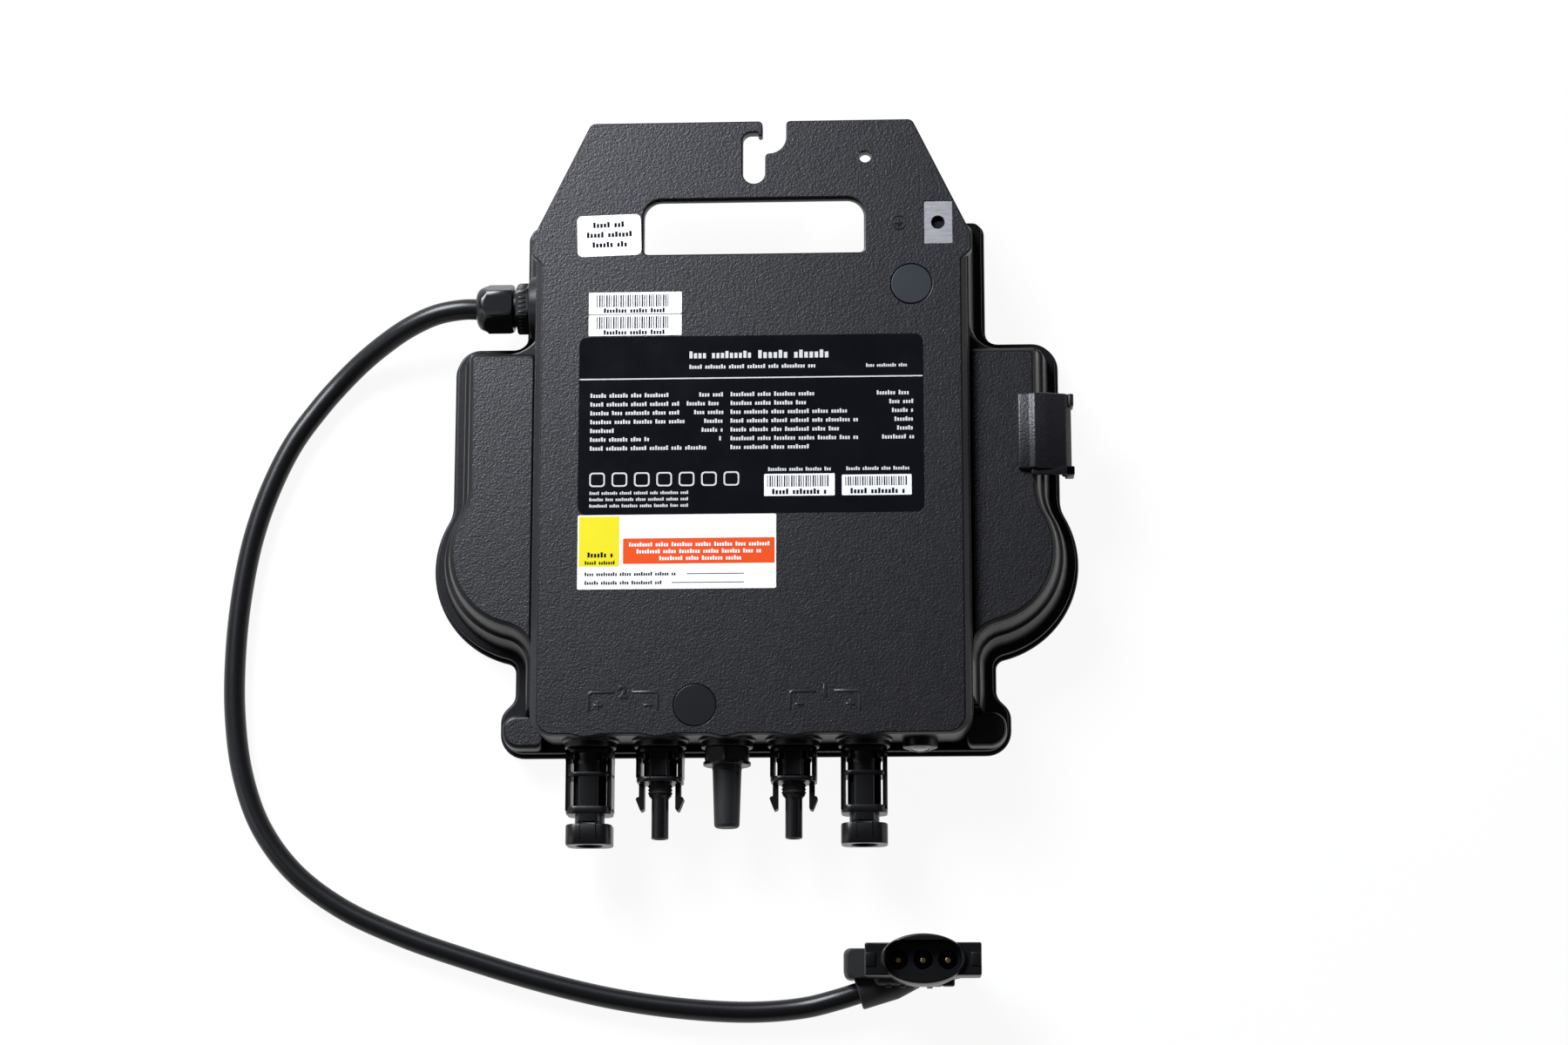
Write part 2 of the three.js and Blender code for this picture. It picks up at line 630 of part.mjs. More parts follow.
// A closed body through outlines with the same number of points, from low to high
function loft(rings) {
  const count = rings[0].points.length;
  const vertices = rings.flatMap(({ points, z }) => points.flatMap(({ x, y }) => [x, y, z]));
  const index = [];
  for (let level = 0; level < rings.length - 1; level += 1) {
    for (let i = 0; i < count; i += 1) {
      const a = level * count + i;
      const b = level * count + ((i + 1) % count);
      index.push(a, b, b + count, a, b + count, a + count);
    }
  }
  const top = (rings.length - 1) * count;
  for (const [a, b, c] of THREE.ShapeUtils.triangulateShape(rings[0].points, [])) {
    index.push(c, b, a);
  }
  for (const [a, b, c] of THREE.ShapeUtils.triangulateShape(rings[rings.length - 1].points, [])) {
    index.push(top + a, top + b, top + c);
  }
  const geometry = new THREE.BufferGeometry();
  geometry.setAttribute('position', new THREE.Float32BufferAttribute(vertices, 3));
  geometry.setIndex(index);
  return geometry;
}

function insetLoft(corners, levels) {
  return loft(levels.map(([z, side, foot = side]) =>
    ({ z, points: roundedOutline(corners, { side, foot }) })));
}

function plate(points, z0, z1, holes = []) {
  const shape = new THREE.Shape(points);
  shape.holes = holes.map((hole) => new THREE.Path(hole));
  const geometry = new THREE.ExtrudeGeometry(shape, { depth: z1 - z0, bevelEnabled: false });
  return geometry.translate(0, 0, z0);
}

function circlePoints(x, y, radius, count) {
  return Array.from({ length: count }, (_, k) => {
    const angle = (2 * Math.PI * k) / count;
    return new THREE.Vector2(x + radius * Math.cos(angle), y + radius * Math.sin(angle));
  });
}

function mirroredCorners(right) {
  const left = right.map((point, i) => {
    const following = right[(i + right.length - 1) % right.length];
    return { ...point, x: -point.x, kind: following.kind };
  });
  return [...right, ...left.reverse()];
}

// The rim's outline from the foot to the recess behind the handle and back.
// Above the ears the tray's own outline has no ears and a raised foot.
function rimCorners(ears = true) {
  const flankCos = (WING_HALF_WIDTH + BULGE_FILLET - BULGE_X) / (BULGE_RADIUS + BULGE_FILLET);
  const waistCos = (WAIST_HALF_WIDTH + WAIST_FILLET - BULGE_X) / (BULGE_RADIUS + WAIST_FILLET);
  const high = Math.acos(flankCos);
  const low = -Math.acos(waistCos);
  const middle = (high + low) / 2;
  const reach = BULGE_RADIUS / Math.cos((high - low) / 2);
  const tangentMeets = (angle, x) => {
    const px = BULGE_X + BULGE_RADIUS * Math.cos(angle);
    const py = BULGE_Y + BULGE_RADIUS * Math.sin(angle);
    return py - ((x - px) * Math.cos(angle)) / Math.sin(angle);
  };
  const foot = ears ? [
    corner(EAR_HALF_WIDTH, FOOT_Y, FOOT_CORNER, 3),
    corner(EAR_HALF_WIDTH, EAR_TOP_Y, EAR_CORNER, 2),
    corner(WAIST_HALF_WIDTH, EAR_NECK_Y, EAR_CORNER - 2, 2),
  ] : [corner(WAIST_HALF_WIDTH, FOOT_Y + TRAY_FOOT_RISE, WAIST_FILLET, 2)];
  return mirroredCorners([
    ...foot,
    corner(WAIST_HALF_WIDTH, tangentMeets(low, WAIST_HALF_WIDTH), WAIST_FILLET, 2),
    corner(
      BULGE_X + reach * Math.cos(middle),
      BULGE_Y + reach * Math.sin(middle),
      BULGE_RADIUS,
      8,
    ),
    corner(WING_HALF_WIDTH, tangentMeets(high, WING_HALF_WIDTH), BULGE_FILLET, 2),
    corner(WING_HALF_WIDTH, WING_TOP_Y, WING_CORNER, 3),
    corner(SHOULDER_HALF_WIDTH, WING_TOP_Y, SHOULDER_CORNER, 2),
    corner(SHOULDER_HALF_WIDTH, SHOULDER_Y, SHOULDER_CORNER, 2),
    corner(RECESS_HALF_WIDTH + RECESS_SLANT, SHOULDER_Y, SHOULDER_CORNER, 2),
    corner(RECESS_HALF_WIDTH, RECESS_Y, SHOULDER_CORNER, 2),
  ]);
}

// The hollow's outline has half the steps in its fillets.
function hollowCorners() {
  return rimCorners(false).map((point) => ({ ...point, steps: Math.ceil(point.steps / 2) }));
}

function wavePoints(x) {
  const steps = [-1, -0.5, 0, 0.5, 1];
  return steps.map((step) => {
    const depth = WAVE_DEPTH * 0.5 * (1 + Math.cos(Math.PI * step));
    return corner(x + step * WAVE_HALF_WIDTH, PANEL_FOOT_Y - depth, 0, 0, 'foot');
  });
}

// The hollow's foot wall is straight inside.
function panelCorners(hollow = false) {
  const waveXs = [SOCKET_XS[0], PLUG_XS[0], ANTENNA_X, PLUG_XS[1], SOCKET_XS[1]];
  return [
    corner(-PANEL_HALF_WIDTH, PANEL_FOOT_Y, PANEL_CORNER, 4, 'foot'),
    ...(hollow ? [] : waveXs.flatMap(wavePoints)),
    corner(PANEL_HALF_WIDTH, PANEL_FOOT_Y, PANEL_CORNER, 4),
    corner(PANEL_HALF_WIDTH, PANEL_SHOULDER_Y, 4, 2),
    corner(RECESS_HALF_WIDTH + RECESS_SLANT + 2, PANEL_SHOULDER_Y, 4, 2, 'foot'),
    corner(RECESS_HALF_WIDTH, PANEL_RECESS_Y, 4, 2, 'foot'),
    corner(-RECESS_HALF_WIDTH, PANEL_RECESS_Y, 4, 2, 'foot'),
    corner(-RECESS_HALF_WIDTH - RECESS_SLANT - 2, PANEL_SHOULDER_Y, 4, 2),
    corner(-PANEL_HALF_WIDTH, PANEL_SHOULDER_Y, 4, 2),
  ];
}

// The hanger plate's outline with the bolt slot, its entry and the hook over it
function hangerCorners() {
  const slotLeft = HANGER_CENTRE_X - SLOT_WIDTH / 2;
  const slotRight = HANGER_CENTRE_X + SLOT_WIDTH / 2;
  const tipX = HANGER_CENTRE_X + HOOK_TIP_X;
  const entryRight = tipX + ENTRY_WIDTH;
  const slotRound = SLOT_WIDTH / 2 - 0.05;
  return [
    corner(-PANEL_HALF_WIDTH, HANDLE_LOW_Y - HANGER_ROOT),
    corner(PANEL_HALF_WIDTH, HANDLE_LOW_Y - HANGER_ROOT),
    corner(PANEL_HALF_WIDTH, HANGER_NECK_Y, 3),
    corner(HANGER_HALF_WIDTH, HANGER_STEP_Y, 3),
    corner(HANGER_HALF_WIDTH, HANGER_SLANT_Y, 4),
    corner(HANGER_TOP_HALF_WIDTH, HANGER_TOP_Y, 3),
    corner(entryRight, HANGER_TOP_Y, 1.6, 2),
    corner(entryRight, ENTRY_FLOOR_Y, 6.6, 4),
    corner(slotRight, ENTRY_FLOOR_Y, 1.5, 2),
    corner(slotRight, SLOT_LOW_Y, slotRound, 5),
    corner(slotLeft, SLOT_LOW_Y, slotRound, 5),
    corner(slotLeft, SLOT_HIGH_Y, 3.4, 3),
    corner(tipX - HOOK_LIP_WIDTH, SLOT_HIGH_Y, 0.6, 1),
    corner(tipX - HOOK_LIP_WIDTH, HOOK_TIP_Y, 0.6, 1),
    corner(tipX, HOOK_TIP_Y, 0.8, 1),
    corner(tipX, HANGER_TOP_Y, 1.6, 2),
    corner(-HANGER_TOP_HALF_WIDTH, HANGER_TOP_Y, 3),
    corner(-HANGER_HALF_WIDTH, HANGER_SLANT_Y, 4),
    corner(-HANGER_HALF_WIDTH, HANGER_STEP_Y, 3),
    corner(-PANEL_HALF_WIDTH, HANGER_NECK_Y, 3),
  ];
}

function handlePoints() {
  const left = HANGER_CENTRE_X - HANDLE_HALF_WIDTH;
  const right = HANGER_CENTRE_X + HANDLE_HALF_WIDTH;
  return roundedOutline([
    corner(left, HANDLE_LOW_Y, HANDLE_LOW_CORNER, 2),
    corner(right, HANDLE_LOW_Y, HANDLE_LOW_CORNER, 2),
    corner(right, HANDLE_HIGH_Y, HANDLE_TOP_CORNER, 4),
    corner(left, HANDLE_HIGH_Y, HANDLE_TOP_CORNER, 4),
  ]);
}

// Housing: one casting

function flange() {
  return insetLoft(rimCorners(), [
    [HOUSING_BACK_Z, FLANGE_INSET],
    [FLANGE_TOP_Z, FLANGE_INSET],
  ]);
}

function trayShell() {
  return insetLoft(rimCorners(false), [
    [FLANGE_TOP_Z - 1, FLANGE_INSET + FLANGE_WIDTH],
    [LEDGE_Z, LEDGE_INSET],
    [LEDGE_Z + LEDGE_WIDTH / 2, LEDGE_INSET + LEDGE_WIDTH],
    [WING_TOP_Z - WING_EDGE_BEVEL, WING_TOP_INSET - WING_EDGE_BEVEL],
    [WING_TOP_Z, WING_TOP_INSET],
  ]);
}

function panelShell() {
  return insetLoft(panelCorners(), [
    [HOUSING_BACK_Z + 1, -PANEL_WALL_SPREAD, FOOT_WALL_SETBACK],
    [PANEL_WALL_TOP_Z - 1.5, -PANEL_BEVEL_SIDE, FOOT_WALL_SETBACK],
    [PANEL_WALL_TOP_Z, -PANEL_BEVEL_SIDE, -PANEL_BEVEL_FOOT],
    [BODY_DEPTH, 0, 0],
  ]);
}

function cornerBlock(side) {
  const outer = EAR_HALF_WIDTH - FLANGE_INSET;
  const low = FOOT_Y + FLANGE_INSET;
  const ring = (z, inset, topInset) => {
    const x0 = outer - CORNER_BLOCK_LENGTH;
    const shape = rectangle(x0, outer - inset, low + inset, EAR_TOP_Y - topInset, EAR_CORNER - inset);
    return { z, points: roundedOutline(shape) };
  };
  const edge = CORNER_BLOCK_SIDE_SETBACK - CORNER_BLOCK_BEVEL;
  const geometry = loft([
    ring(HOUSING_BACK_Z + 1, edge / 2, CORNER_BLOCK_TOP_SETBACK / 2),
    ring(CORNER_BLOCK_TOP_Z - CORNER_BLOCK_BEVEL, edge, CORNER_BLOCK_TOP_SETBACK - CORNER_BLOCK_BEVEL),
    ring(CORNER_BLOCK_TOP_Z, CORNER_BLOCK_SIDE_SETBACK, CORNER_BLOCK_TOP_SETBACK),
  ]);
  return side > 0 ? geometry : closedMesh(geometry.scale(-1, 1, 1));
}

function couplerBoss(x) {
  const profile = [
    [0, FOOT_WALL_Y + WALL],
    [BOSS_RADIUS + BOSS_CHAMFER, FOOT_WALL_Y + WALL],
    [BOSS_RADIUS + BOSS_CHAMFER, FOOT_WALL_Y - 0.8],
    [BOSS_RADIUS, FOOT_WALL_Y - 1.6],
    [BOSS_RADIUS, BOSS_FACE_Y + BOSS_CHAMFER],
    [BOSS_RADIUS - BOSS_CHAMFER, BOSS_FACE_Y],
    [0, BOSS_FACE_Y],
  ];
  return turned(profile, 16).translate(x, 0, COUPLER_AXIS_Z);
}

function lensAxis(geometry) {
  const tilted = geometry.translate(0, -LENS_FACE_Y, 0).rotateX(LENS_TILT);
  return tilted.translate(LENS_X, LENS_FACE_Y, LENS_Z);
}

function lensBoss() {
  const top = FOOT_WALL_Y + WALL;
  const profile = [
    [0, top],
    [LENS_BOSS_RADIUS, top],
    [LENS_BOSS_RADIUS, LENS_FACE_Y + 0.8],
    [LENS_BOSS_RADIUS - 0.8, LENS_FACE_Y],
    [0, LENS_FACE_Y],
  ];
  return lensAxis(turned(profile, 12));
}

function glandBoss() {
  const profile = [
    [0, GLAND_BOSS_FACE_X],
    [GLAND_BOSS_RADIUS - 0.6, GLAND_BOSS_FACE_X],
    [GLAND_BOSS_RADIUS, GLAND_BOSS_FACE_X + 0.6],
    [GLAND_BOSS_RADIUS + GLAND_BOSS_SPREAD, -PANEL_HALF_WIDTH - 1],
    [GLAND_BOSS_RADIUS + GLAND_BOSS_SPREAD, -PANEL_HALF_WIDTH + WALL],
    [0, -PANEL_HALF_WIDTH + WALL],
  ];
  return turnedX(profile, 16).translate(0, GLAND_Y, GLAND_Z);
}

function coverScrewPlaces() {
  const right = [
    [SHOULDER_HALF_WIDTH - COVER_SCREW_EDGE, SHOULDER_Y - COVER_SCREW_EDGE],
    [WING_HALF_WIDTH - COVER_SCREW_EDGE, WING_TOP_Y - COVER_SCREW_EDGE],
    [BODY_HALF_WIDTH - 1.25 * COVER_SCREW_EDGE, BULGE_Y],
    [EAR_HALF_WIDTH - 0.9 * COVER_SCREW_EDGE, FOOT_Y + 0.9 * COVER_SCREW_EDGE],
  ];
  return right.flatMap(([x, y]) => [[x, y], [-x, y]]);
}

function postPlaces() {
  return POST_YS.flatMap((y) => [[-POST_X, y], [POST_X, y]]);
}

function cavity() {
  const floor = HOUSING_BACK_Z - 2;
  const tray = insetLoft(hollowCorners(), [
    [floor, FLANGE_INSET + WALL + 1],
    [WING_TOP_Z - WALL, WING_TOP_INSET + WALL - 0.8],
  ]);
  const panel = insetLoft(panelCorners(true), [
    [floor, WALL],
    [ROOF_Z, WALL],
  ]);
  let hollow = solid(tray).add(solid(panel));
  for (const [x, y] of coverScrewPlaces()) {
    hollow = hollow.subtract(solid(rodZ(SCREW_BOSS_RADIUS, floor + 0.8, ROOF_Z + 1, 8).translate(x, y, 0)));
  }
  for (const [x, y] of postPlaces()) {
    hollow = hollow.subtract(solid(rodZ(POST_RADIUS, PART_Z, ROOF_Z + 1, 8).translate(x, y, 0)));
  }
  return hollow;
}

function fillHole({ x, y, radius }) {
  const seat = BODY_DEPTH - FILL_PLUG_HEAD - SEAT_GAP;
  return turnedZ([
    [0, ROOF_Z - 1],
    [radius - FILL_PLUG_FLANGE + SEAT_GAP, ROOF_Z - 1],
    [radius - FILL_PLUG_FLANGE + SEAT_GAP, seat],
    [radius + SEAT_GAP, seat],
    [radius + SEAT_GAP, BODY_DEPTH + 1],
    [0, BODY_DEPTH + 1],
  ], 16).translate(x, y, 0);
}

function housingHoles() {
  const earthTop = BODY_DEPTH + 1;
  const halfPatch = [EARTH_PATCH_WIDTH / 2, EARTH_PATCH_HEIGHT / 2];
  const holes = [
    plate(handlePoints(), HANGER_LOW_Z - 1, earthTop),
    rodZ(LANYARD_HOLE_RADIUS, HANGER_LOW_Z - 1, earthTop, 16)
      .translate(LANYARD_HOLE_X, LANYARD_HOLE_Y, 0),
    box(
      [EARTH_X - halfPatch[0], EARTH_X + halfPatch[0]],
      [EARTH_Y - halfPatch[1], EARTH_Y + halfPatch[1]],
      [BODY_DEPTH - EARTH_PATCH_DEPTH, earthTop],
    ),
    rodZ(EARTH_HOLE_RADIUS, BODY_DEPTH - EARTH_HOLE_DEPTH, earthTop, 14).translate(EARTH_X, EARTH_Y, 0),
    rodX(GLAND_STEM_RADIUS + SEAT_GAP, GLAND_BOSS_FACE_X - 1, -PANEL_HALF_WIDTH + 2 * WALL, 16)
      .translate(0, GLAND_Y, GLAND_Z),
    lensAxis(rodY(LENS_RADIUS + SEAT_GAP, LENS_FACE_Y - 1, LENS_FACE_Y + LENS_LENGTH + 2, 12)),
    ...FILL_PLUGS.map(fillHole),
    ...[...SOCKET_XS, ...PLUG_XS, ANTENNA_X].map((x) =>
      rodY(STEM_RADIUS + SEAT_GAP, BOSS_FACE_Y - 1, FOOT_WALL_Y + 2 * WALL, 10)
        .translate(x, 0, COUPLER_AXIS_Z)),
    ...coverScrewPlaces().map(([x, y]) =>
      rodZ(COVER_SCREW_RADIUS + SEAT_GAP, 0, COVER_SCREW_LENGTH + 1, 8).translate(x, y, 0)),
    ...postPlaces().map(([x, y]) =>
      rodZ(BOARD_SCREW_RADIUS + SEAT_GAP, BOARD_TOP_Z, BOARD_Z + BOARD_SCREW_LENGTH + 1, 6)
        .translate(x, y, 0)),
    ...clipPegYs().map((y) =>
      rodZ(CLIP_PEG_RADIUS + SEAT_GAP, WING_TOP_Z - CLIP_PEG_LENGTH, WING_TOP_Z + 1, 8)
        .translate(clipPegX(), y, 0)),
  ];
  return joined(...holes);
}

function makeHousing() {
  const hanger = plate(roundedOutline(hangerCorners()), HANGER_LOW_Z, BODY_DEPTH);
  const bosses = [...SOCKET_XS, ...PLUG_XS, ANTENNA_X].map(couplerBoss);
  const outside = joined(
    flange(),
    trayShell(),
    panelShell(),
    hanger,
    cornerBlock(1),
    cornerBlock(-1),
    lensBoss(),
    glandBoss(),
    ...bosses,
  );
  return toGeometry(outside.subtract(cavity()).subtract(housingHoles()));
}

// Back cover, gasket and fasteners

function makeBackCover() {
  const cover = insetLoft(rimCorners(), [
    [0, 0.8],
    [0.8, 0],
    [COVER_THICKNESS, 0],
  ]);
  const holes = coverScrewPlaces().map(([x, y]) => turnedZ([
    [0, -1],
    [COVER_SCREW_HEAD_RADIUS + SEAT_GAP, -1],
    [COVER_SCREW_HEAD_RADIUS + SEAT_GAP, 0.4],
    [COVER_SCREW_RADIUS + SEAT_GAP, COVER_SCREW_HEAD + SEAT_GAP],
    [COVER_SCREW_RADIUS + SEAT_GAP, COVER_THICKNESS + 1],
    [0, COVER_THICKNESS + 1],
  ], 8).translate(x, y, 0));
  return toGeometry(solid(cover).subtract(joined(...holes)));
}

function makeCoverGasket() {
  const outer = roundedOutline(rimCorners(), { side: FLANGE_INSET + 0.2, foot: 0 });
  const inner = roundedOutline(rimCorners(), { side: FLANGE_INSET + WALL - 0.3, foot: 0 });
  const low = COVER_THICKNESS + SEAT_GAP;
  return plate(outer, low, low + GASKET_THICKNESS, [inner]);
}

function makeCoverScrew() {
  return turnedZ([
    [0, 0.2],
    [COVER_SCREW_HEAD_RADIUS, 0.2],
    [COVER_SCREW_HEAD_RADIUS, 0.5],
    [COVER_SCREW_RADIUS, COVER_SCREW_HEAD],
    [COVER_SCREW_RADIUS, COVER_SCREW_LENGTH],
    [0, COVER_SCREW_LENGTH],
  ], 8);
}

function makeBoardScrew() {
  const head = BOARD_Z - SEAT_GAP;
  return turnedZ([
    [0, head - BOARD_SCREW_HEAD],
    [BOARD_SCREW_HEAD_RADIUS - 0.6, head - BOARD_SCREW_HEAD],
    [BOARD_SCREW_HEAD_RADIUS, head - BOARD_SCREW_HEAD / 2],
    [BOARD_SCREW_HEAD_RADIUS, head],
    [BOARD_SCREW_RADIUS, head],
    [BOARD_SCREW_RADIUS, BOARD_Z + BOARD_SCREW_LENGTH],
    [0, BOARD_Z + BOARD_SCREW_LENGTH],
  ], 6);
}

function makeFillPlug({ x, y, radius }) {
  const head = BODY_DEPTH - FILL_PLUG_HEAD;
  return turnedZ([
    [0, head - FILL_PLUG_STEM_LENGTH],
    [radius - FILL_PLUG_FLANGE - 0.5, head - FILL_PLUG_STEM_LENGTH],
    [radius - FILL_PLUG_FLANGE, head - FILL_PLUG_STEM_LENGTH + 0.8],
    [radius - FILL_PLUG_FLANGE, head],
    [radius, head],
    [radius, BODY_DEPTH - 0.3],
    [radius - 0.3, BODY_DEPTH],
    [0, BODY_DEPTH],
  ], 16).translate(x, y, 0);
}

function makeLens() {
  return lensAxis(turned([
    [0, LENS_FACE_Y + LENS_LENGTH],
    [LENS_RADIUS, LENS_FACE_Y + LENS_LENGTH],
    [LENS_RADIUS, LENS_FACE_Y],
    [LENS_RADIUS - 0.9, LENS_FACE_Y - LENS_DOME * 0.6],
    [LENS_RADIUS * 0.4, LENS_FACE_Y - LENS_DOME],
    [0, LENS_FACE_Y - LENS_DOME],
  ], 16));
}

// DC couplers

// What both kinds of coupler share: the stem in the wall, the base disc, the core and the rails
function couplerBody(endY) {
  const rail = (side) => {
    const inner = side * (COUPLER_HALF_WIDTH - COUPLER_RAIL);
    const outer = side * COUPLER_HALF_WIDTH;
    const z = [-COUPLER_RAIL_HALF_HEIGHT, COUPLER_RAIL_HALF_HEIGHT];
    return box([Math.min(inner, outer), Math.max(inner, outer)], [endY, COUPLER_BASE_Y - 0.5], z);
  };
  return joined(
    rodY(STEM_RADIUS, COUPLER_BASE_Y - 0.5, STEM_END_Y, 10),
    flattenedDisc(COUPLER_BASE_Y, COUPLER_BASE_Y - COUPLER_BASE),
    rodY(COUPLER_CORE_RADIUS, endY, COUPLER_BASE_Y - 0.5, 12),
    rail(1),
    rail(-1),
  );
}

// A round section with flats above and below
function flattenedDisc(y0, y1, halfWidth = COUPLER_HALF_WIDTH) {
  const low = Math.min(y0, y1);
  const high = Math.max(y0, y1);
  const halfHeight = COUPLER_HALF_HEIGHT;
  const points = roundedOutline(rectangle(-halfWidth, halfWidth, -halfHeight, halfHeight, 4.6, 2));
  return plate(points, low, high).rotateX(Math.PI / 2).scale(1, -1, 1);
}

function makeSocket(x) {
  const strip = box(
    [-SOCKET_STRIP_HALF_WIDTH, SOCKET_STRIP_HALF_WIDTH],
    [SOCKET_END_Y + 2.6, SOCKET_RIB_Y],
    [-COUPLER_HALF_HEIGHT + 0.3, COUPLER_HALF_HEIGHT - 0.3],
  );
  const body = couplerBody(SOCKET_NECK_Y).add(joined(
    strip,
    flattenedDisc(SOCKET_RIB_Y, SOCKET_RIB_Y - SOCKET_RIB),
    flattenedDisc(SOCKET_STOP_Y, SOCKET_NECK_Y),
    rodY(COUPLER_CORE_RADIUS, SOCKET_COLLAR_Y - 1, SOCKET_NECK_Y + 1, 12),
    flattenedDisc(SOCKET_COLLAR_Y, SOCKET_END_Y, SOCKET_COLLAR_HALF_WIDTH),
  ));
  const bore = turned([
    [0, SOCKET_END_Y - 1],
    [SOCKET_MOUTH_RADIUS, SOCKET_END_Y - 1],
    [SOCKET_MOUTH_RADIUS, SOCKET_END_Y + SOCKET_MOUTH_DEPTH],
    [SOCKET_BORE_RADIUS, SOCKET_END_Y + SOCKET_MOUTH_DEPTH + 1],
    [SOCKET_BORE_RADIUS, SOCKET_BORE_END_Y],
    [0, SOCKET_BORE_END_Y],
  ], 12);
  return toGeometry(body.subtract(solid(bore))).translate(x, 0, COUPLER_AXIS_Z);
}

function makeContactPin(x) {
  return turned([
    [0, SOCKET_BORE_END_Y - SEAT_GAP],
    [SOCKET_BORE_RADIUS - SEAT_GAP, SOCKET_BORE_END_Y - SEAT_GAP],
    [SOCKET_BORE_RADIUS - SEAT_GAP, SOCKET_BORE_END_Y - 2.4],
    [SOCKET_PIN_RADIUS, SOCKET_BORE_END_Y - 2.4],
    [SOCKET_PIN_RADIUS, SOCKET_PIN_TIP_Y + 1.4],
    [SOCKET_PIN_RADIUS * 0.5, SOCKET_PIN_TIP_Y],
    [0, SOCKET_PIN_TIP_Y],
  ], 10).translate(x, 0, COUPLER_AXIS_Z);
}

function makePlug(x) {
  const sealEnd = PLUG_PLATE_END_Y - PLUG_SEAL_LENGTH;
  const nose = turned([
    [0, PLUG_PLATE_END_Y + 1],
    [PLUG_SEAL_RADIUS - 1.2, PLUG_PLATE_END_Y + 1],
    [PLUG_SEAL_RADIUS - 1.2, sealEnd - SEAT_GAP],
    [PLUG_SEAL_RADIUS - 0.3, sealEnd - SEAT_GAP],
    [PLUG_BARREL_RADIUS, sealEnd - 1.8],
    [PLUG_BARREL_RADIUS, PLUG_TIP_Y],
    [0, PLUG_TIP_Y],
  ], 16);
  const bore = rodY(PLUG_BORE_RADIUS, PLUG_TIP_Y - 1, PLUG_BORE_END_Y, 12);
  const body = couplerBody(PLUG_PLATE_Y)
    .add(joined(flattenedDisc(PLUG_PLATE_Y, PLUG_PLATE_END_Y), nose))
    .subtract(solid(bore));
  return toGeometry(body).translate(x, 0, COUPLER_AXIS_Z);
}

function makePlugSeal(x) {
  const start = PLUG_PLATE_END_Y - SEAT_GAP;
  const end = PLUG_PLATE_END_Y - PLUG_SEAL_LENGTH;
  const inner = PLUG_SEAL_RADIUS - 1.2 + SEAT_GAP;
  const middle = (start + end) / 2;
  return turned([
    [inner, start],
    [inner, end],
    [PLUG_SEAL_RADIUS - 0.5, end],
    [PLUG_SEAL_RADIUS, (middle + end) / 2],
    [PLUG_SEAL_RADIUS - 0.4, middle],
    [PLUG_SEAL_RADIUS, (middle + start) / 2],
    [PLUG_SEAL_RADIUS - 0.5, start],
    [inner, start],
  ], 12).translate(x, 0, COUPLER_AXIS_Z);
}

function makeContactSleeve(x) {
  const outer = PLUG_BORE_RADIUS - SEAT_GAP;
  const mouth = PLUG_TIP_Y + 0.8;
  return turned([
    [0, PLUG_BORE_END_Y - SEAT_GAP],
    [outer, PLUG_BORE_END_Y - SEAT_GAP],
    [outer, mouth],
    [SLEEVE_BORE_RADIUS, mouth],
    [SLEEVE_BORE_RADIUS, mouth + SLEEVE_BORE_DEPTH],
    [0, mouth + SLEEVE_BORE_DEPTH],
  ], 12).translate(x, 0, COUPLER_AXIS_Z);
}

// One spring arm with its barb, seen from above, on the left or right of a slim coupler
function makeLatchArm(x, side) {
  const rootY = PLUG_PLATE_END_Y - SEAT_GAP;
  const endY = rootY - ARM_LENGTH;
  const barbY = rootY - ARM_BARB_REACH;
  const inner = -ARM_THICKNESS / 2;
  const outer = ARM_THICKNESS / 2;
  const points = [
    [inner, rootY],
    [inner, endY + 0.6],
    [0, endY],
    [outer - 0.5, endY],
    [outer + ARM_BARB, barbY],
    [outer + ARM_BARB - 0.3, barbY + 0.6],
    [outer, barbY + 0.6],
    [outer, rootY],
  ].map(([px, py]) => new THREE.Vector2(x + side * (ARM_OFFSET + px), py));
  const low = COUPLER_AXIS_Z - ARM_HALF_HEIGHT;
  return plate(points, low, low + 2 * ARM_HALF_HEIGHT);
}

// Antenna

function makeAntennaBase() {
  const hex = rodY(ANTENNA_HEX_RADIUS, ANTENNA_HEX_END_Y, COUPLER_BASE_Y, 6);
  const flangeY = [ANTENNA_HEX_END_Y - ANTENNA_FLANGE, ANTENNA_HEX_END_Y + 0.5];
  const flange = rodY(ANTENNA_FLANGE_RADIUS, ...flangeY, 20);
  const stem = rodY(STEM_RADIUS, COUPLER_BASE_Y - 0.5, STEM_END_Y, 10);
  return toGeometry(joined(hex, flange, stem)).translate(ANTENNA_X, 0, COUPLER_AXIS_Z);
}

function makeAntennaCap() {
  const start = ANTENNA_HEX_END_Y - ANTENNA_FLANGE - SEAT_GAP;
  const tip = start - ANTENNA_CAP_LENGTH;
  return turned([
    [ANTENNA_BORE_RADIUS, start],
    [ANTENNA_CAP_RADIUS, start],
    [ANTENNA_TIP_RADIUS, tip + 1.6],
    [ANTENNA_TIP_RADIUS - 0.5, tip + 0.5],
    [ANTENNA_TIP_RADIUS - 1.5, tip],
    [0, tip],
    [0, tip + 3],
    [ANTENNA_BORE_RADIUS, tip + 4],
    [ANTENNA_BORE_RADIUS, start],
  ], 16).translate(ANTENNA_X, 0, COUPLER_AXIS_Z);
}

function makeAntennaRod() {
  const start = ANTENNA_HEX_END_Y - ANTENNA_FLANGE - SEAT_GAP;
  const rod = rodY(ANTENNA_ROD_RADIUS, start - ANTENNA_ROD_LENGTH, start, 12);
  return rod.translate(ANTENNA_X, 0, COUPLER_AXIS_Z);
}

// Cable gland

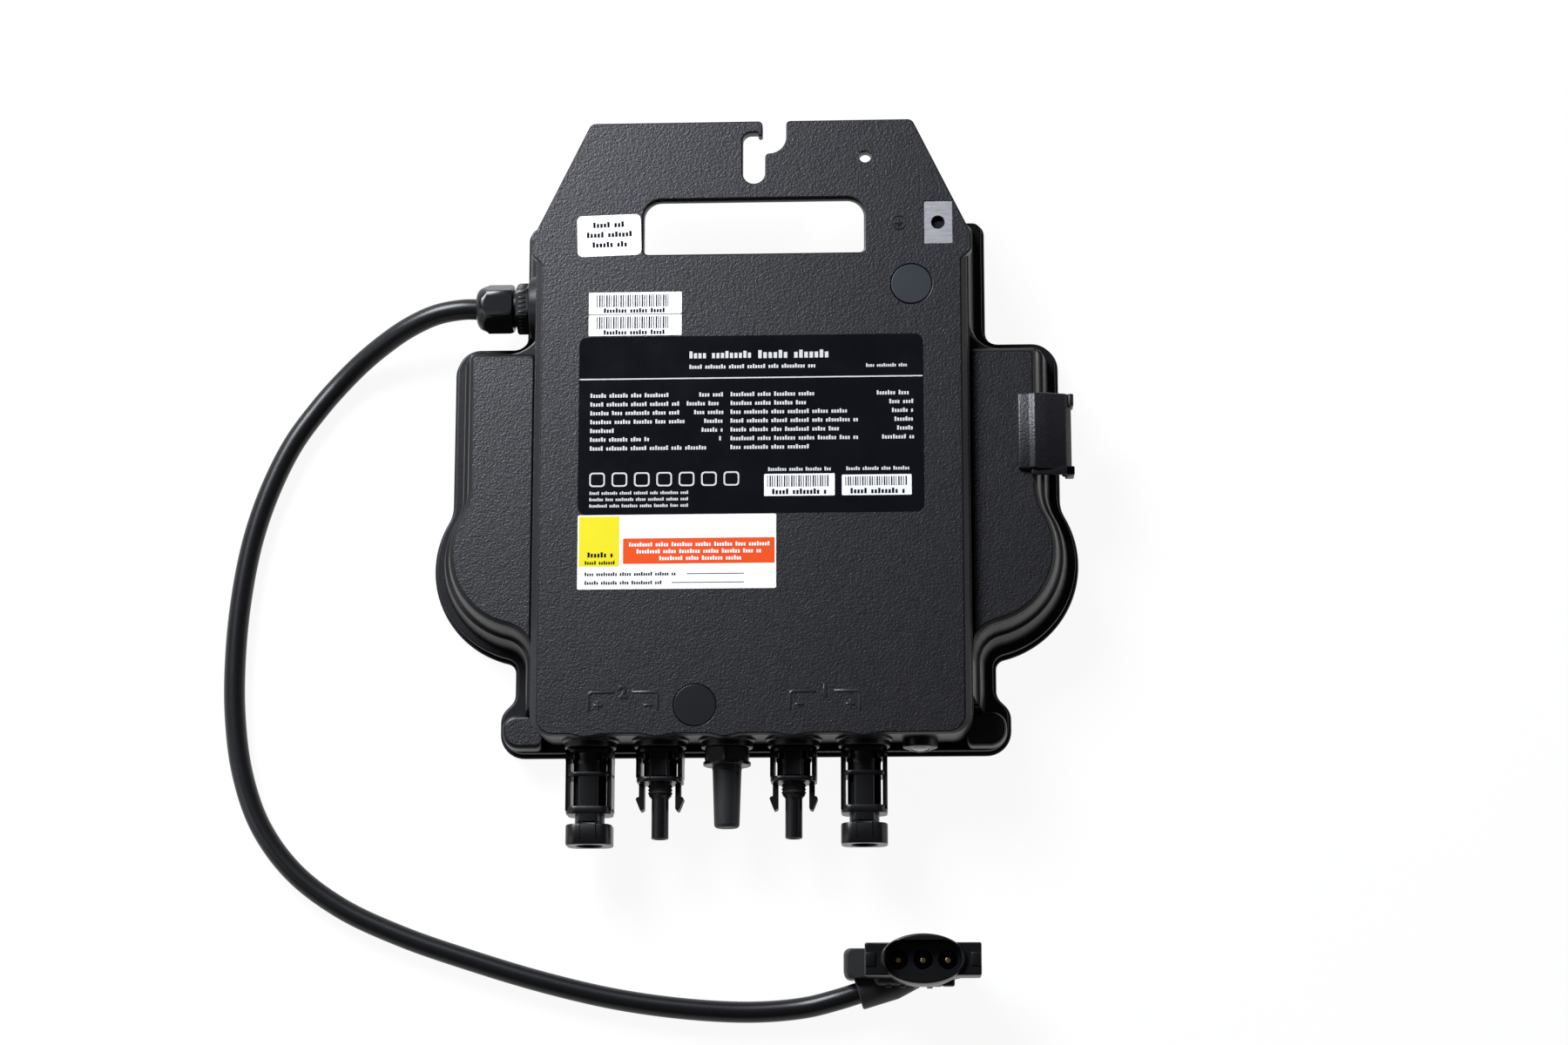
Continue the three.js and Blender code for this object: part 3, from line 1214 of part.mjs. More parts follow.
const glandPlace = (geometry) => geometry.translate(0, GLAND_Y, GLAND_Z);

function hexRodX(radius, x0, x1) {
  const points = circlePoints(0, 0, radius, 6);
  return plate(points, 0, x1 - x0).rotateY(Math.PI / 2).translate(x0, 0, 0);
}

function makeGlandBody() {
  const body = joined(
    rodX(GLAND_STEM_RADIUS, GLAND_BOSS_FACE_X - 1, GLAND_STEM_END_X, 16),
    hexRodX(GLAND_HEX_RADIUS, GLAND_HEX_END_X, GLAND_BOSS_FACE_X - SEAT_GAP),
    rodX(GLAND_SPIGOT_RADIUS, GLAND_SPIGOT_END_X, GLAND_HEX_END_X + 1, 16),
  );
  const hole = rodX(GLAND_CORE_BORE_RADIUS, GLAND_SPIGOT_END_X - 1, GLAND_STEM_END_X + 1, 12);
  return glandPlace(toGeometry(body.subtract(solid(hole))));
}

function makeGlandNut() {
  const hex = hexRodX(NUT_HEX_RADIUS, NUT_END_X, NUT_START_X);
  const roundFlank = NUT_HEX_RADIUS * Math.cos(Math.PI / 6);
  const dome = turnedX([
    [0, NUT_END_X],
    [NUT_MOUTH_RADIUS, NUT_END_X],
    [roundFlank - 0.9, NUT_END_X + NUT_DOME * 0.3],
    [roundFlank, NUT_END_X + NUT_DOME * 0.6],
    [NUT_HEX_RADIUS + 0.1, NUT_END_X + NUT_DOME],
    [NUT_HEX_RADIUS + 0.1, NUT_START_X - 1],
    [NUT_HEX_RADIUS - 0.7, NUT_START_X + 1],
    [0, NUT_START_X + 1],
  ], 18);
  const inside = GLAND_SPIGOT_RADIUS + RUNNING_GAP;
  const mouth = CABLE_RADIUS + RUNNING_GAP;
  const bore = turnedX([
    [0, NUT_END_X - 1],
    [mouth, NUT_END_X - 1],
    [mouth, NUT_END_X + NUT_LIP],
    [inside, NUT_END_X + NUT_LIP + 1.6],
    [inside, NUT_START_X + 2],
    [0, NUT_START_X + 2],
  ], 16);
  const nut = solid(hex).intersect(solid(dome)).subtract(solid(bore));
  return glandPlace(toGeometry(nut));
}

function makeGlandSeal() {
  const start = GLAND_SPIGOT_END_X - SEAT_GAP;
  const inner = CABLE_RADIUS + SEAT_GAP;
  return glandPlace(turnedX([
    [inner, start],
    [GLAND_SEAL_RADIUS, start],
    [GLAND_SEAL_RADIUS, start - GLAND_SEAL_LENGTH * 0.6],
    [inner + 0.8, start - GLAND_SEAL_LENGTH],
    [inner, start - GLAND_SEAL_LENGTH],
    [inner, start],
  ], 12));
}

function makeGlandLocknut() {
  const inside = -PANEL_HALF_WIDTH + WALL + SEAT_GAP;
  const hex = solid(hexRodX(LOCKNUT_RADIUS, inside, inside + LOCKNUT_THICKNESS));
  const boreX = [inside - 1, inside + LOCKNUT_THICKNESS + 1];
  const bore = solid(rodX(GLAND_STEM_RADIUS + SEAT_GAP, ...boreX, 16));
  return glandPlace(toGeometry(hex.subtract(bore)));
}

// AC cable: from the gland body's end, through the seal and the nut, down to the surface and
// along it to the plug. The points are the cable's centre line.
function cableRoute() {
  const mouth = barrelMouth();
  const heading = new THREE.Vector3(Math.cos(AC_BARREL_ANGLE), Math.sin(AC_BARREL_ANGLE), 0);
  const end = mouth.clone().addScaledVector(heading, -SEAT_GAP);
  const points = [
    [GLAND_SPIGOT_END_X - SEAT_GAP, GLAND_Y, GLAND_Z],
    [-112, GLAND_Y, GLAND_Z],
    [-119, GLAND_Y, GLAND_Z],
    [-130, 70.6, 18.8],
    [-142, 66.2, 15.6],
    [-153, 60.2, 11.4],
    [-163, 53.2, 7.6],
    [-172, 44.9, 5.2],
    [-180, 35.6, CABLE_REST_Z],
    [-190.6, 20.4, CABLE_REST_Z],
    [-199.6, 1, CABLE_REST_Z],
    [-206, -19.6, CABLE_REST_Z],
    [-210, -43, CABLE_REST_Z],
    [-211.8, -68, CABLE_REST_Z],
    [-211.2, -93, CABLE_REST_Z],
    [-207.4, -117, CABLE_REST_Z],
    [-199.4, -138.4, CABLE_REST_Z],
    [-185.6, -156.8, CABLE_REST_Z],
    [-166.2, -171.4, CABLE_REST_Z],
    [-141.8, -182.8, CABLE_REST_Z],
    [-113, -192.8, CABLE_REST_Z],
    [-83.7, -201.6, CABLE_REST_Z],
    [-54.6, -208.4, CABLE_REST_Z],
    [-25.6, -212.4, CABLE_REST_Z],
    [0, -213.6, CABLE_REST_Z],
    [20, -212, CABLE_REST_Z + 0.7],
  ].map(([x, y, z]) => new THREE.Vector3(x, y, z));
  points.push(end.clone().addScaledVector(heading, -9), end);
  return points;
}

function barrelMouth() {
  return new THREE.Vector3(AC_BARREL_MOUTH_X, AC_BARREL_MOUTH_Y, AC_BARREL_Z);
}

function makeCable() {
  const section = new THREE.Shape(circlePoints(0, 0, CABLE_RADIUS, CABLE_SIDES));
  const path = new THREE.CatmullRomCurve3(cableRoute(), false, 'centripetal');
  return new THREE.ExtrudeGeometry(section, { steps: CABLE_STEPS, extrudePath: path });
}

// AC plug: front block face up, with three pins in a recess, on a back shell that the cable enters

function acFrontPoints() {
  const bulge = circlePoints(0, 0, 1, 24).map(({ x, y }) =>
    new THREE.Vector2(AC_PLUG_BULGE_HALF_LENGTH * x, AC_PLUG_BULGE_HALF_WIDTH * y));
  const block = roundedOutline(rectangle(
    -AC_PLUG_HALF_LENGTH,
    AC_PLUG_HALF_LENGTH,
    -AC_PLUG_HALF_WIDTH,
    AC_PLUG_HALF_WIDTH,
    1.2,
    2,
  ));
  return { bulge, block };
}

const acPinOffsets = [-1, 0, 1].map((step) => step * AC_PIN_PITCH);

function makeAcPlugFront() {
  const { bulge, block } = acFrontPoints();
  const top = AC_PLUG_TOP_Z;
  const low = AC_PLUG_SPLIT_Z + SEAT_GAP;
  const recess = roundedOutline(rectangle(
    -AC_PLUG_RECESS_HALF_LENGTH,
    AC_PLUG_RECESS_HALF_LENGTH,
    -AC_PLUG_RECESS_HALF_WIDTH,
    AC_PLUG_RECESS_HALF_WIDTH,
    AC_PLUG_RECESS_HALF_WIDTH - 0.1,
    4,
  ));
  const outside = joined(plate(bulge, low, top), plate(block, low, top));
  const wells = acPinOffsets.map((x) =>
    rodZ(AC_PIN_WELL_RADIUS, top - AC_PIN_WELL_DEPTH, top + 1, 12).translate(x, 0, 0));
  const hollow = joined(plate(recess, top - AC_PLUG_RECESS_DEPTH, top + 1), ...wells);
  return toGeometry(outside.subtract(hollow)).translate(AC_PLUG_X, AC_PLUG_Y, 0);
}

function makeAcPlugPin(offset) {
  const low = AC_PLUG_TOP_Z - AC_PIN_WELL_DEPTH + SEAT_GAP;
  const tip = AC_PLUG_TOP_Z - AC_PIN_TOP_DEPTH;
  return turnedZ([
    [0, low],
    [AC_PIN_WELL_RADIUS - SEAT_GAP, low],
    [AC_PIN_WELL_RADIUS - SEAT_GAP, low + 1],
    [AC_PIN_RADIUS, low + 1],
    [AC_PIN_RADIUS, tip - 0.8],
    [AC_PIN_RADIUS * 0.5, tip],
    [0, tip],
  ], 10).translate(AC_PLUG_X + offset, AC_PLUG_Y, 0);
}

function makeAcPlugBack() {
  const mouth = barrelMouth();
  const top = AC_PLUG_SPLIT_Z;
  const shellRing = (z, left, right, half) => ({
    z,
    points: roundedOutline(rectangle(left, right, AC_PLUG_Y - half, AC_PLUG_Y + half, 2.6)),
  });
  const shell = loft([
    shellRing(AC_BACK_BOTTOM_Z, AC_BACK_LEFT_X + 1.6, AC_BACK_RIGHT_X - 7, AC_BACK_HALF_WIDTH - 1.2),
    shellRing(AC_BACK_BOTTOM_Z + 1.6, AC_BACK_LEFT_X, AC_BACK_RIGHT_X - 5, AC_BACK_HALF_WIDTH),
    shellRing(top - 4, AC_BACK_LEFT_X, AC_BACK_RIGHT_X, AC_BACK_HALF_WIDTH),
    shellRing(top, AC_BACK_LEFT_X + 1.4, AC_BACK_RIGHT_X, AC_BACK_HALF_WIDTH - 0.4),
  ]);
  const barrel = turnedX([
    [0, 0],
    [AC_BARREL_RADIUS - 0.8, 0],
    [AC_BARREL_RADIUS, 0.8],
    [AC_BARREL_RADIUS, AC_BARREL_LENGTH * 0.6],
    [AC_BARREL_RADIUS * 0.72, AC_BARREL_LENGTH],
    [0, AC_BARREL_LENGTH],
  ], 16).rotateZ(AC_BARREL_ANGLE).translate(mouth.x, mouth.y, mouth.z);
  const web = box(
    [AC_BARREL_MOUTH_X + 6, AC_BARREL_MOUTH_X + 34],
    [AC_PLUG_Y - AC_PLUG_BULGE_HALF_WIDTH + 1, AC_PLUG_Y],
    [AC_BARREL_Z - 2, top - 1],
  );
  return toGeometry(joined(shell, barrel, web));
}

// Cable clip

function clipPegX() {
  return (CLIP_INNER_X + WING_HALF_WIDTH - WING_TOP_INSET) / 2;
}

function clipPegYs() {
  return [CLIP_LOW_Y + 7, CLIP_HIGH_Y - 7];
}

function makeCableClip() {
  const seat = WING_TOP_Z + SEAT_GAP;
  const section = [
    [CLIP_INNER_X, seat],
    [CLIP_RIDGE_X, seat],
    [CLIP_OUTER_X - CLIP_WALL - 2, seat + CLIP_EDGE_HEIGHT - CLIP_WALL],
    [CLIP_OUTER_X - CLIP_WALL, seat + CLIP_EDGE_HEIGHT - CLIP_WALL - 1.6],
    [CLIP_OUTER_X - CLIP_WALL, CLIP_REACH_Z + 2],
    [CLIP_OUTER_X - CLIP_WALL - 1, CLIP_REACH_Z + 1],
    [CLIP_OUTER_X - CLIP_WALL - 0.6, CLIP_REACH_Z],
    [CLIP_OUTER_X - 0.6, CLIP_REACH_Z],
    [CLIP_OUTER_X, seat + CLIP_EDGE_HEIGHT - 1.4],
    [CLIP_OUTER_X - 1, seat + CLIP_EDGE_HEIGHT],
    [CLIP_RIDGE_X, seat + CLIP_RIDGE_HEIGHT],
    [CLIP_INNER_X + 1.4, seat + CLIP_RIDGE_HEIGHT - 1.2],
    [CLIP_INNER_X, seat + CLIP_RIDGE_HEIGHT - 2.6],
  ].map(([x, z]) => new THREE.Vector2(x, z));
  const hood = plate(section, 0, CLIP_HIGH_Y - CLIP_LOW_Y).rotateX(Math.PI / 2).translate(0, CLIP_HIGH_Y, 0);
  const lips = [CLIP_LOW_Y, CLIP_HIGH_Y - CLIP_LIP_LENGTH].map((y) =>
    box(
      [CLIP_OUTER_X - 1, CLIP_OUTER_X + CLIP_LIP],
      [y, y + CLIP_LIP_LENGTH],
      [seat - 7, seat + CLIP_EDGE_HEIGHT - 1.2],
    ));
  const pegZ = [WING_TOP_Z - CLIP_PEG_LENGTH + SEAT_GAP, seat + 0.5];
  const pegs = clipPegYs().map((y) => rodZ(CLIP_PEG_RADIUS, ...pegZ, 8).translate(clipPegX(), y, 0));
  return toGeometry(joined(hood, ...lips, ...pegs));
}

// Board and what stands on it

function makeBoard() {
  const corners = rectangle(-BOARD_HALF_WIDTH, BOARD_HALF_WIDTH, BOARD_LOW_Y, BOARD_HIGH_Y, 4, 2);
  const outline = roundedOutline(corners);
  const holes = postPlaces().map(([x, y]) => circlePoints(x, y, BOARD_SCREW_RADIUS + SEAT_GAP, 6));
  return plate(outline, BOARD_Z, BOARD_TOP_Z, holes);
}

function blockOnBoard(x, y, [width, depth, height]) {
  return box([x - width / 2, x + width / 2], [y - depth / 2, y + depth / 2], [PART_Z, PART_Z + height]);
}

function makeTransformer(x) {
  const core = blockOnBoard(x, TRANSFORMER_Y, [TRANSFORMER_WIDTH, TRANSFORMER_DEPTH, TRANSFORMER_HEIGHT]);
  const low = PART_Z + (TRANSFORMER_HEIGHT - WINDING_HEIGHT) / 2;
  const winding = rodZ(WINDING_RADIUS, low, low + WINDING_HEIGHT, 16).translate(x, TRANSFORMER_Y, 0);
  return toGeometry(joined(core, winding));
}

function makeCapacitor(x) {
  const top = PART_Z + CAPACITOR_HEIGHT;
  return turnedZ([
    [0, PART_Z],
    [CAPACITOR_RADIUS, PART_Z],
    [CAPACITOR_RADIUS, PART_Z + 1.4],
    [CAPACITOR_RADIUS - 0.5, PART_Z + 2],
    [CAPACITOR_RADIUS, PART_Z + 2.6],
    [CAPACITOR_RADIUS, top - 0.6],
    [CAPACITOR_RADIUS - 0.6, top],
    [0, top],
  ], 10).translate(x, CAPACITOR_Y, 0);
}

function makeChoke() {
  const top = PART_Z + CHOKE_HEIGHT;
  return turnedZ([
    [CHOKE_HOLE_RADIUS, PART_Z + 2],
    [CHOKE_HOLE_RADIUS + 2, PART_Z],
    [CHOKE_RADIUS - 2, PART_Z],
    [CHOKE_RADIUS, PART_Z + 2],
    [CHOKE_RADIUS, top - 2],
    [CHOKE_RADIUS - 2, top],
    [CHOKE_HOLE_RADIUS + 2, top],
    [CHOKE_HOLE_RADIUS, top - 2],
    [CHOKE_HOLE_RADIUS, PART_Z + 2],
  ], 12).translate(CHOKE_X, CHOKE_Y, 0);
}

function makeHeatBar() {
  const height = ROOF_Z - SEAT_GAP - PART_Z;
  return blockOnBoard(HEAT_BAR_X, HEAT_BAR_Y, [...HEAT_BAR_SIZE, height]);
}

// Assembly

const micro_inverter = new THREE.Group();
micro_inverter.position.y = -ORIGIN_Y;

function addPiece(name, geometry, material) {
  const mesh = new THREE.Mesh(closedMesh(geometry), material);
  mesh.name = name;
  micro_inverter.add(mesh);
  return mesh;
}

addPiece('housing', makeHousing(), castBlack);
addPiece('back_cover', makeBackCover(), castBlack);
addPiece('cover_gasket', makeCoverGasket(), blackRubber);
coverScrewPlaces().forEach(([x, y], i) => {
  addPiece(`cover_screw_${i + 1}`, makeCoverScrew(), steel).position.set(x, y, 0);
});
FILL_PLUGS.forEach((fillPlug) => addPiece(fillPlug.name, makeFillPlug(fillPlug), greyPlastic));
addPiece('indicator_lens', makeLens(), clearLens);
addPiece('cable_clip', makeCableClip(), castBlack);

SOCKET_XS.forEach((x, i) => {
  addPiece(`dc_socket_${i + 1}`, makeSocket(x), blackPlastic);
  addPiece(`contact_pin_${i + 1}`, makeContactPin(x), brass);
});
PLUG_XS.forEach((x, i) => {
  addPiece(`dc_plug_${i + 1}`, makePlug(x), blackPlastic);
  addPiece(`plug_seal_${i + 1}`, makePlugSeal(x), blackRubber);
  addPiece(`contact_sleeve_${i + 1}`, makeContactSleeve(x), brass);
  addPiece(`latch_arm_${i + 1}_left`, makeLatchArm(x, -1), blackPlastic);
  addPiece(`latch_arm_${i + 1}_right`, makeLatchArm(x, 1), blackPlastic);
});

addPiece('antenna_base', makeAntennaBase(), blackPlastic);
addPiece('antenna_cap', makeAntennaCap(), blackPlastic);
addPiece('antenna_rod', makeAntennaRod(), copper);

addPiece('gland_body', makeGlandBody(), blackPlastic);
addPiece('gland_nut', makeGlandNut(), blackPlastic);
addPiece('gland_seal', makeGlandSeal(), blackRubber);
addPiece('gland_locknut', makeGlandLocknut(), steel);
addPiece('ac_cable', makeCable(), blackRubber);

addPiece('ac_plug_front', makeAcPlugFront(), blackPlastic);
addPiece('ac_plug_back', makeAcPlugBack(), blackPlastic);
acPinOffsets.forEach((offset, i) => addPiece(`ac_plug_pin_${i + 1}`, makeAcPlugPin(offset), brass));

addPiece('main_board', makeBoard(), boardGreen);
postPlaces().forEach(([x, y], i) => {
  addPiece(`board_screw_${i + 1}`, makeBoardScrew(), steel).position.set(x, y, 0);
});
[-TRANSFORMER_X, TRANSFORMER_X].forEach((x, i) => {
  addPiece(`transformer_${i + 1}`, makeTransformer(x), ferrite);
});
[-PART_PITCH, 0, PART_PITCH].forEach((step, i) => {
  addPiece(`bulk_capacitor_${i + 1}`, makeCapacitor(CAPACITOR_X + step), foil);
});
[-PART_PITCH, PART_PITCH].forEach((step, i) => {
  addPiece(`relay_${i + 1}`, blockOnBoard(RELAY_X + step, RELAY_Y, RELAY_SIZE), greyPlastic);
});
addPiece('output_choke', makeChoke(), copper);
addPiece('heat_bar', makeHeatBar(), bareAluminium);
addPiece('radio_module', blockOnBoard(RADIO_X, RADIO_Y, RADIO_SIZE), steel);
addPiece('dc_terminal', blockOnBoard(ANTENNA_X, DC_TERMINAL_Y, DC_TERMINAL_SIZE), greyPlastic);
addPiece('ac_terminal', blockOnBoard(AC_TERMINAL_X, GLAND_Y, AC_TERMINAL_SIZE), greyPlastic);

export default micro_inverter;
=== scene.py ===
"""Micro inverter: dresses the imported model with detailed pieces, materials, light and a camera.

Sizes are in millimetres and are turned into metres where a mesh is made. Heights start at the
back cover's outer face, and Y is measured on the rim as in the part's source.
"""

from collections import namedtuple
from math import acos, asin, atan2, cos, hypot, pi, radians, sin, tan

import bmesh
import bpy
from mathutils import Matrix, Vector


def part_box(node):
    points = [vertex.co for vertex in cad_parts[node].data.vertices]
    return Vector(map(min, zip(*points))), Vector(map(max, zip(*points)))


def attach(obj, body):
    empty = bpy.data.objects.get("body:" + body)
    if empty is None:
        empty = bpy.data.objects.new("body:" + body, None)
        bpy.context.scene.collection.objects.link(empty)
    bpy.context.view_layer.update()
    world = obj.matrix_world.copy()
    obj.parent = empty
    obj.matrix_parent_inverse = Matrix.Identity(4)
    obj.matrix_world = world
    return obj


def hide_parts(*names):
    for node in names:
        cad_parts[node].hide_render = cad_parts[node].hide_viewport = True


bl_info = {
    "name": "Micro inverter",
    "version": (1, 0, 0),
    "blender": (4, 5, 0),
    "location": "View3D > Sidebar > Inverter",
    "description": "Builds the visible pieces of a micro inverter on its packed frame",
    "category": "Add Mesh",
}

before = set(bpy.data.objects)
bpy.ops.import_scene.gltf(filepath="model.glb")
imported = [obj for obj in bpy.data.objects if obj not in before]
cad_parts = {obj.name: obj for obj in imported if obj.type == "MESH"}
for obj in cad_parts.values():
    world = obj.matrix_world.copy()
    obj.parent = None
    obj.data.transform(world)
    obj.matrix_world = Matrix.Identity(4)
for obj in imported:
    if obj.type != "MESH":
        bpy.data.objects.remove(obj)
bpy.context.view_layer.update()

MM = 0.001
BODY = "inverter"
SEAT_GAP = 0.3

# Depth of the body, and the height of the painted face under the labels
BODY_DEPTH = 41.2
FACE_Z = 40.85
LABEL_THICKNESS = 0.12
FILM_GAP = 0.004
PRINT_HEIGHT = 0.015
COVER_THICKNESS = 2.4
HOUSING_BACK_Z = 3.9

# Rim
BODY_HALF_WIDTH = 131.1
WING_HALF_WIDTH = 124.1
SHOULDER_HALF_WIDTH = 94.5
SHOULDER_Y = 112.0
WING_TOP_Y = 59.9
BULGE_RADIUS = 40.4
BULGE_FILLET = 14.0
BULGE_X = BODY_HALF_WIDTH - BULGE_RADIUS
BULGE_Y = -33.0
WAIST_HALF_WIDTH = 97.3
WAIST_FILLET = 4.0
EAR_HALF_WIDTH = 103.1
EAR_TOP_Y = -93.2
EAR_NECK_Y = -87.4
FOOT_Y = -111.2
TRAY_FOOT_RISE = 10.0
RECESS_HALF_WIDTH = 49.0
RECESS_Y = 98.0
PAD_X = 87.6
PAD_TOP_Z = 33.0
PAD_TOP_RADIUS = 5.5
PAD_INNER_RADIUS = 1.6
TRAY_TOP_Z = 30.2
SCREW_INSET = 13.0
BULGE_SCREW_INSET = 16.25
FOOT_SCREW_INSET = 11.7

# Front panel and hanger plate
PANEL_HALF_WIDTH = 84.1
PANEL_FOOT_Y = -107.5
PANEL_NECK_Y = 84.4
WAVE_HALF_WIDTH = 7.4
WAVE_DEPTH = 1.2
CORE_TOP_Y = 99.0
CORE_NOTCH_HALF_WIDTH = 56.0
CORE_NOTCH_Y = 87.4
HANGER_FOOT_Y = 88.3
HANDLE_LOW_Y = 87.9
HANDLE_HIGH_Y = 110.7
HANDLE_LEFT_X = -43.2
HANDLE_RIGHT_X = 45.4
HANGER_TOP_Y = 143.7
HANGER_HALF_WIDTH = 88.6
HANGER_TOP_HALF_WIDTH = 65.0
HANGER_SLANT_Y = 94.8
HANGER_LOW_Z = 35.4
SLOPE_LOW_Z = 36.0
SLOT_LEFT_X = -3.4
SLOT_RIGHT_X = 5.6
SLOT_LOW_Y = 117.3
SLOT_HIGH_Y = 138.8
HOOK_TIP_X = 4.6
HOOK_TIP_Y = 137.3
ENTRY_RIGHT_X = 14.1
ENTRY_FLOOR_Y = 130.0
EARTH_X = 75.1
EARTH_Y = 99.9
EARTH_SIGN_X = 59.4
EARTH_HALF_WIDTH = 5.7
EARTH_HALF_HEIGHT = 8.95

# Fill plugs and the small hole of the hanger plate, as X and Y
FILL_UPPER = (64.3, 74.2)
FILL_LOWER = (-21.7, -96.3)
HANGER_HOLE = (46.0, 127.9)

# Couplers, antenna, lens and gland
AXIS_Z = 20.0
ANTENNA_X = -10.2
SOCKET_XS = (-64.6, 44.2)
PLUG_XS = (-36.7, 16.3)
FOOT_WALL_Y = -106.8
BOSS_FACE_Y = -110.4
COUPLER_BASE_Y = -110.7
SOCKET_END_Y = -149.2
PLUG_PLATE_END_Y = -124.4
PLUG_TIP_Y = -146.5
LENS_X = 66.4
LENS_Z = 16.6
LENS_RADIUS = 4.7
GLAND_Y = 72.2
CABLE_RADIUS = 4.25
CABLE_REST_Z = 4.6
PLUG_CENTRE = (66.8, -195.3)
PLUG_TOP_Z = 36.0
PLUG_PIN_STEPS = (-9.7, 0, 9.7)

# Faces that meet at more than this angle keep a sharp edge between them
SHARP_ANGLE = radians(32)

# How far the frame's middle lies from the rim's own zero
SHIFT_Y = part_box("back_cover")[0][1] / MM - FOOT_Y


def metres(x, y, z):
    """A point of the frame in metres, from millimetres measured on the rim."""
    return Vector((x * MM, (y + SHIFT_Y) * MM, z * MM))


# Outlines

Corner = namedtuple("Corner", "x y radius steps kind")


def corner(x, y, radius=0.0, steps=6, kind="side"):
    """A corner with its fillet. Its kind names the edge that leaves it for the next corner."""
    return Corner(x, y, radius, steps, kind)


def rectangle(x0, x1, y0, y1, radius, steps=6):
    return [corner(x, y, radius, steps) for x, y in ((x0, y0), (x1, y0), (x1, y1), (x0, y1))]


def cross(a, b):
    return a[0] * b[1] - a[1] * b[0]


def inset_corners(corners, insets):
    """Corners whose edges have moved in by the inset of their kind, with fillets to match."""
    edges = []
    for here, there in zip(corners, corners[1:] + corners[:1]):
        length = hypot(there.x - here.x, there.y - here.y)
        way = ((there.x - here.x) / length, (there.y - here.y) / length)
        inset = insets[here.kind]
        edges.append((way, (here.x - way[1] * inset, here.y + way[0] * inset), inset))
    moved = []
    for i, point in enumerate(corners):
        (way_in, start_in, inset_in), (way_out, start_out, inset_out) = edges[i - 1], edges[i]
        turn = cross(way_in, way_out)
        gap = (start_out[0] - start_in[0], start_out[1] - start_in[1])
        along = cross(gap, way_out) / turn
        inset = (inset_in + inset_out) / 2
        radius = point.radius - inset if turn > 0 else point.radius + inset
        moved.append(point._replace(
            x=start_in[0] + way_in[0] * along,
            y=start_in[1] + way_in[1] * along,
            radius=max(radius, 0.4) if point.radius else 0.0,
        ))
    return moved


def corner_turn(corners, i):
    """The directions of the edges into and out of a corner, and the turn between them."""
    before, here, after = corners[i - 1], corners[i], corners[(i + 1) % len(corners)]
    way_in = Vector((here.x - before.x, here.y - before.y)).normalized()
    way_out = Vector((after.x - here.x, after.y - here.y)).normalized()
    return way_in, way_out, atan2(cross(way_in, way_out), way_in.dot(way_out))


# How much of an outline's edge its two fillets may take up together, and of a profile's edge
# each of them, and an outline fillet's shortest reach
FILLET_SHARE = 0.999
PROFILE_SHARE = 0.48
FILLET_REACH = 0.02


def rounded_outline(corners, insets):
    """Points round the corners' fillets. Where two overlap on an edge, one of them gives way."""
    corners = inset_corners(corners, insets)
    count = len(corners)
    setbacks = [c.radius * tan(abs(corner_turn(corners, i)[2]) / 2) for i, c in enumerate(corners)]
    for i, here in enumerate(corners):
        after = (i + 1) % count
        length = hypot(corners[after].x - here.x, corners[after].y - here.y)
        excess = setbacks[i] + setbacks[after] - FILLET_SHARE * length
        here_gives = (setbacks[i] > setbacks[after]) == (here.radius < BULGE_RADIUS / 2)
        giving = i if here_gives else after
        if excess > 0:
            setbacks[giving] = max(setbacks[giving] - excess, 0)
    points = []
    for i, here in enumerate(corners):
        way_in, _, turn = corner_turn(corners, i)
        if not here.radius:
            points.append((here.x, here.y))
            continue
        reach = max(setbacks[i], FILLET_REACH)
        radius = reach / tan(abs(turn) / 2)
        side = 1 if turn > 0 else -1
        start = Vector((here.x, here.y)) - way_in * reach
        centre = start + side * radius * Vector((-way_in.y, way_in.x))
        angle = atan2(start.y - centre.y, start.x - centre.x)
        for k in range(here.steps + 1):
            a = angle + turn * k / here.steps
            points.append((centre.x + radius * cos(a), centre.y + radius * sin(a)))
    return points


def outline(corners, inset=0.0):
    """Points of an outline whose edges all move in by the same inset."""
    return rounded_outline(corners, {"side": inset})


def filleted(profile, steps=4):
    """A profile of (height, inset, fillet radius) as (height, inset) points with arcs."""
    points = [profile[0][:2]]
    for before, here, after in zip(profile, profile[1:], profile[2:]):
        a, b, c = (Vector(point[:2]) for point in (before, here, after))
        way_in, way_out = (b - a).normalized(), (c - b).normalized()
        turn = atan2(cross(way_in, way_out), way_in.dot(way_out))
        reach = here[2] * abs(tan(turn / 2))
        if reach < 1e-4:
            points.append(tuple(b))
            continue
        reach = min(reach, PROFILE_SHARE * (b - a).length, PROFILE_SHARE * (c - b).length)
        for k in range(steps + 1):
            t = k / steps
            start, end = b - way_in * reach, b + way_out * reach
            points.append(tuple(start * (1 - t) ** 2 + b * 2 * t * (1 - t) + end * t * t))
    points.append(profile[-1][:2])
    return points


def value_at(points, z):
    """The inset of a profile at a height, held constant beyond its ends."""
    for (z0, v0), (z1, v1) in zip(points, points[1:]):
        if z0 <= z <= z1:
            return v0 if z1 - z0 < 1e-9 else v0 + (v1 - v0) * (z - z0) / (z1 - z0)
    return points[0][1] if z < points[0][0] else points[-1][1]


def lofted_rings(corners, **profiles):
    """Rings of one outline whose inset follows a profile for each kind of edge."""
    arcs = {kind: filleted(profile) for kind, profile in profiles.items()}
    heights = sorted({round(z, 4) for points in arcs.values() for z, _ in points})
    rings = []
    for z in heights:
        insets = {kind: value_at(points, z) for kind, points in arcs.items()}
        rings.append([(x, y, z) for x, y in rounded_outline(corners, insets)])
    return rings


def flat_ring(points, z):
    return [(x, y, z) for x, y in points]


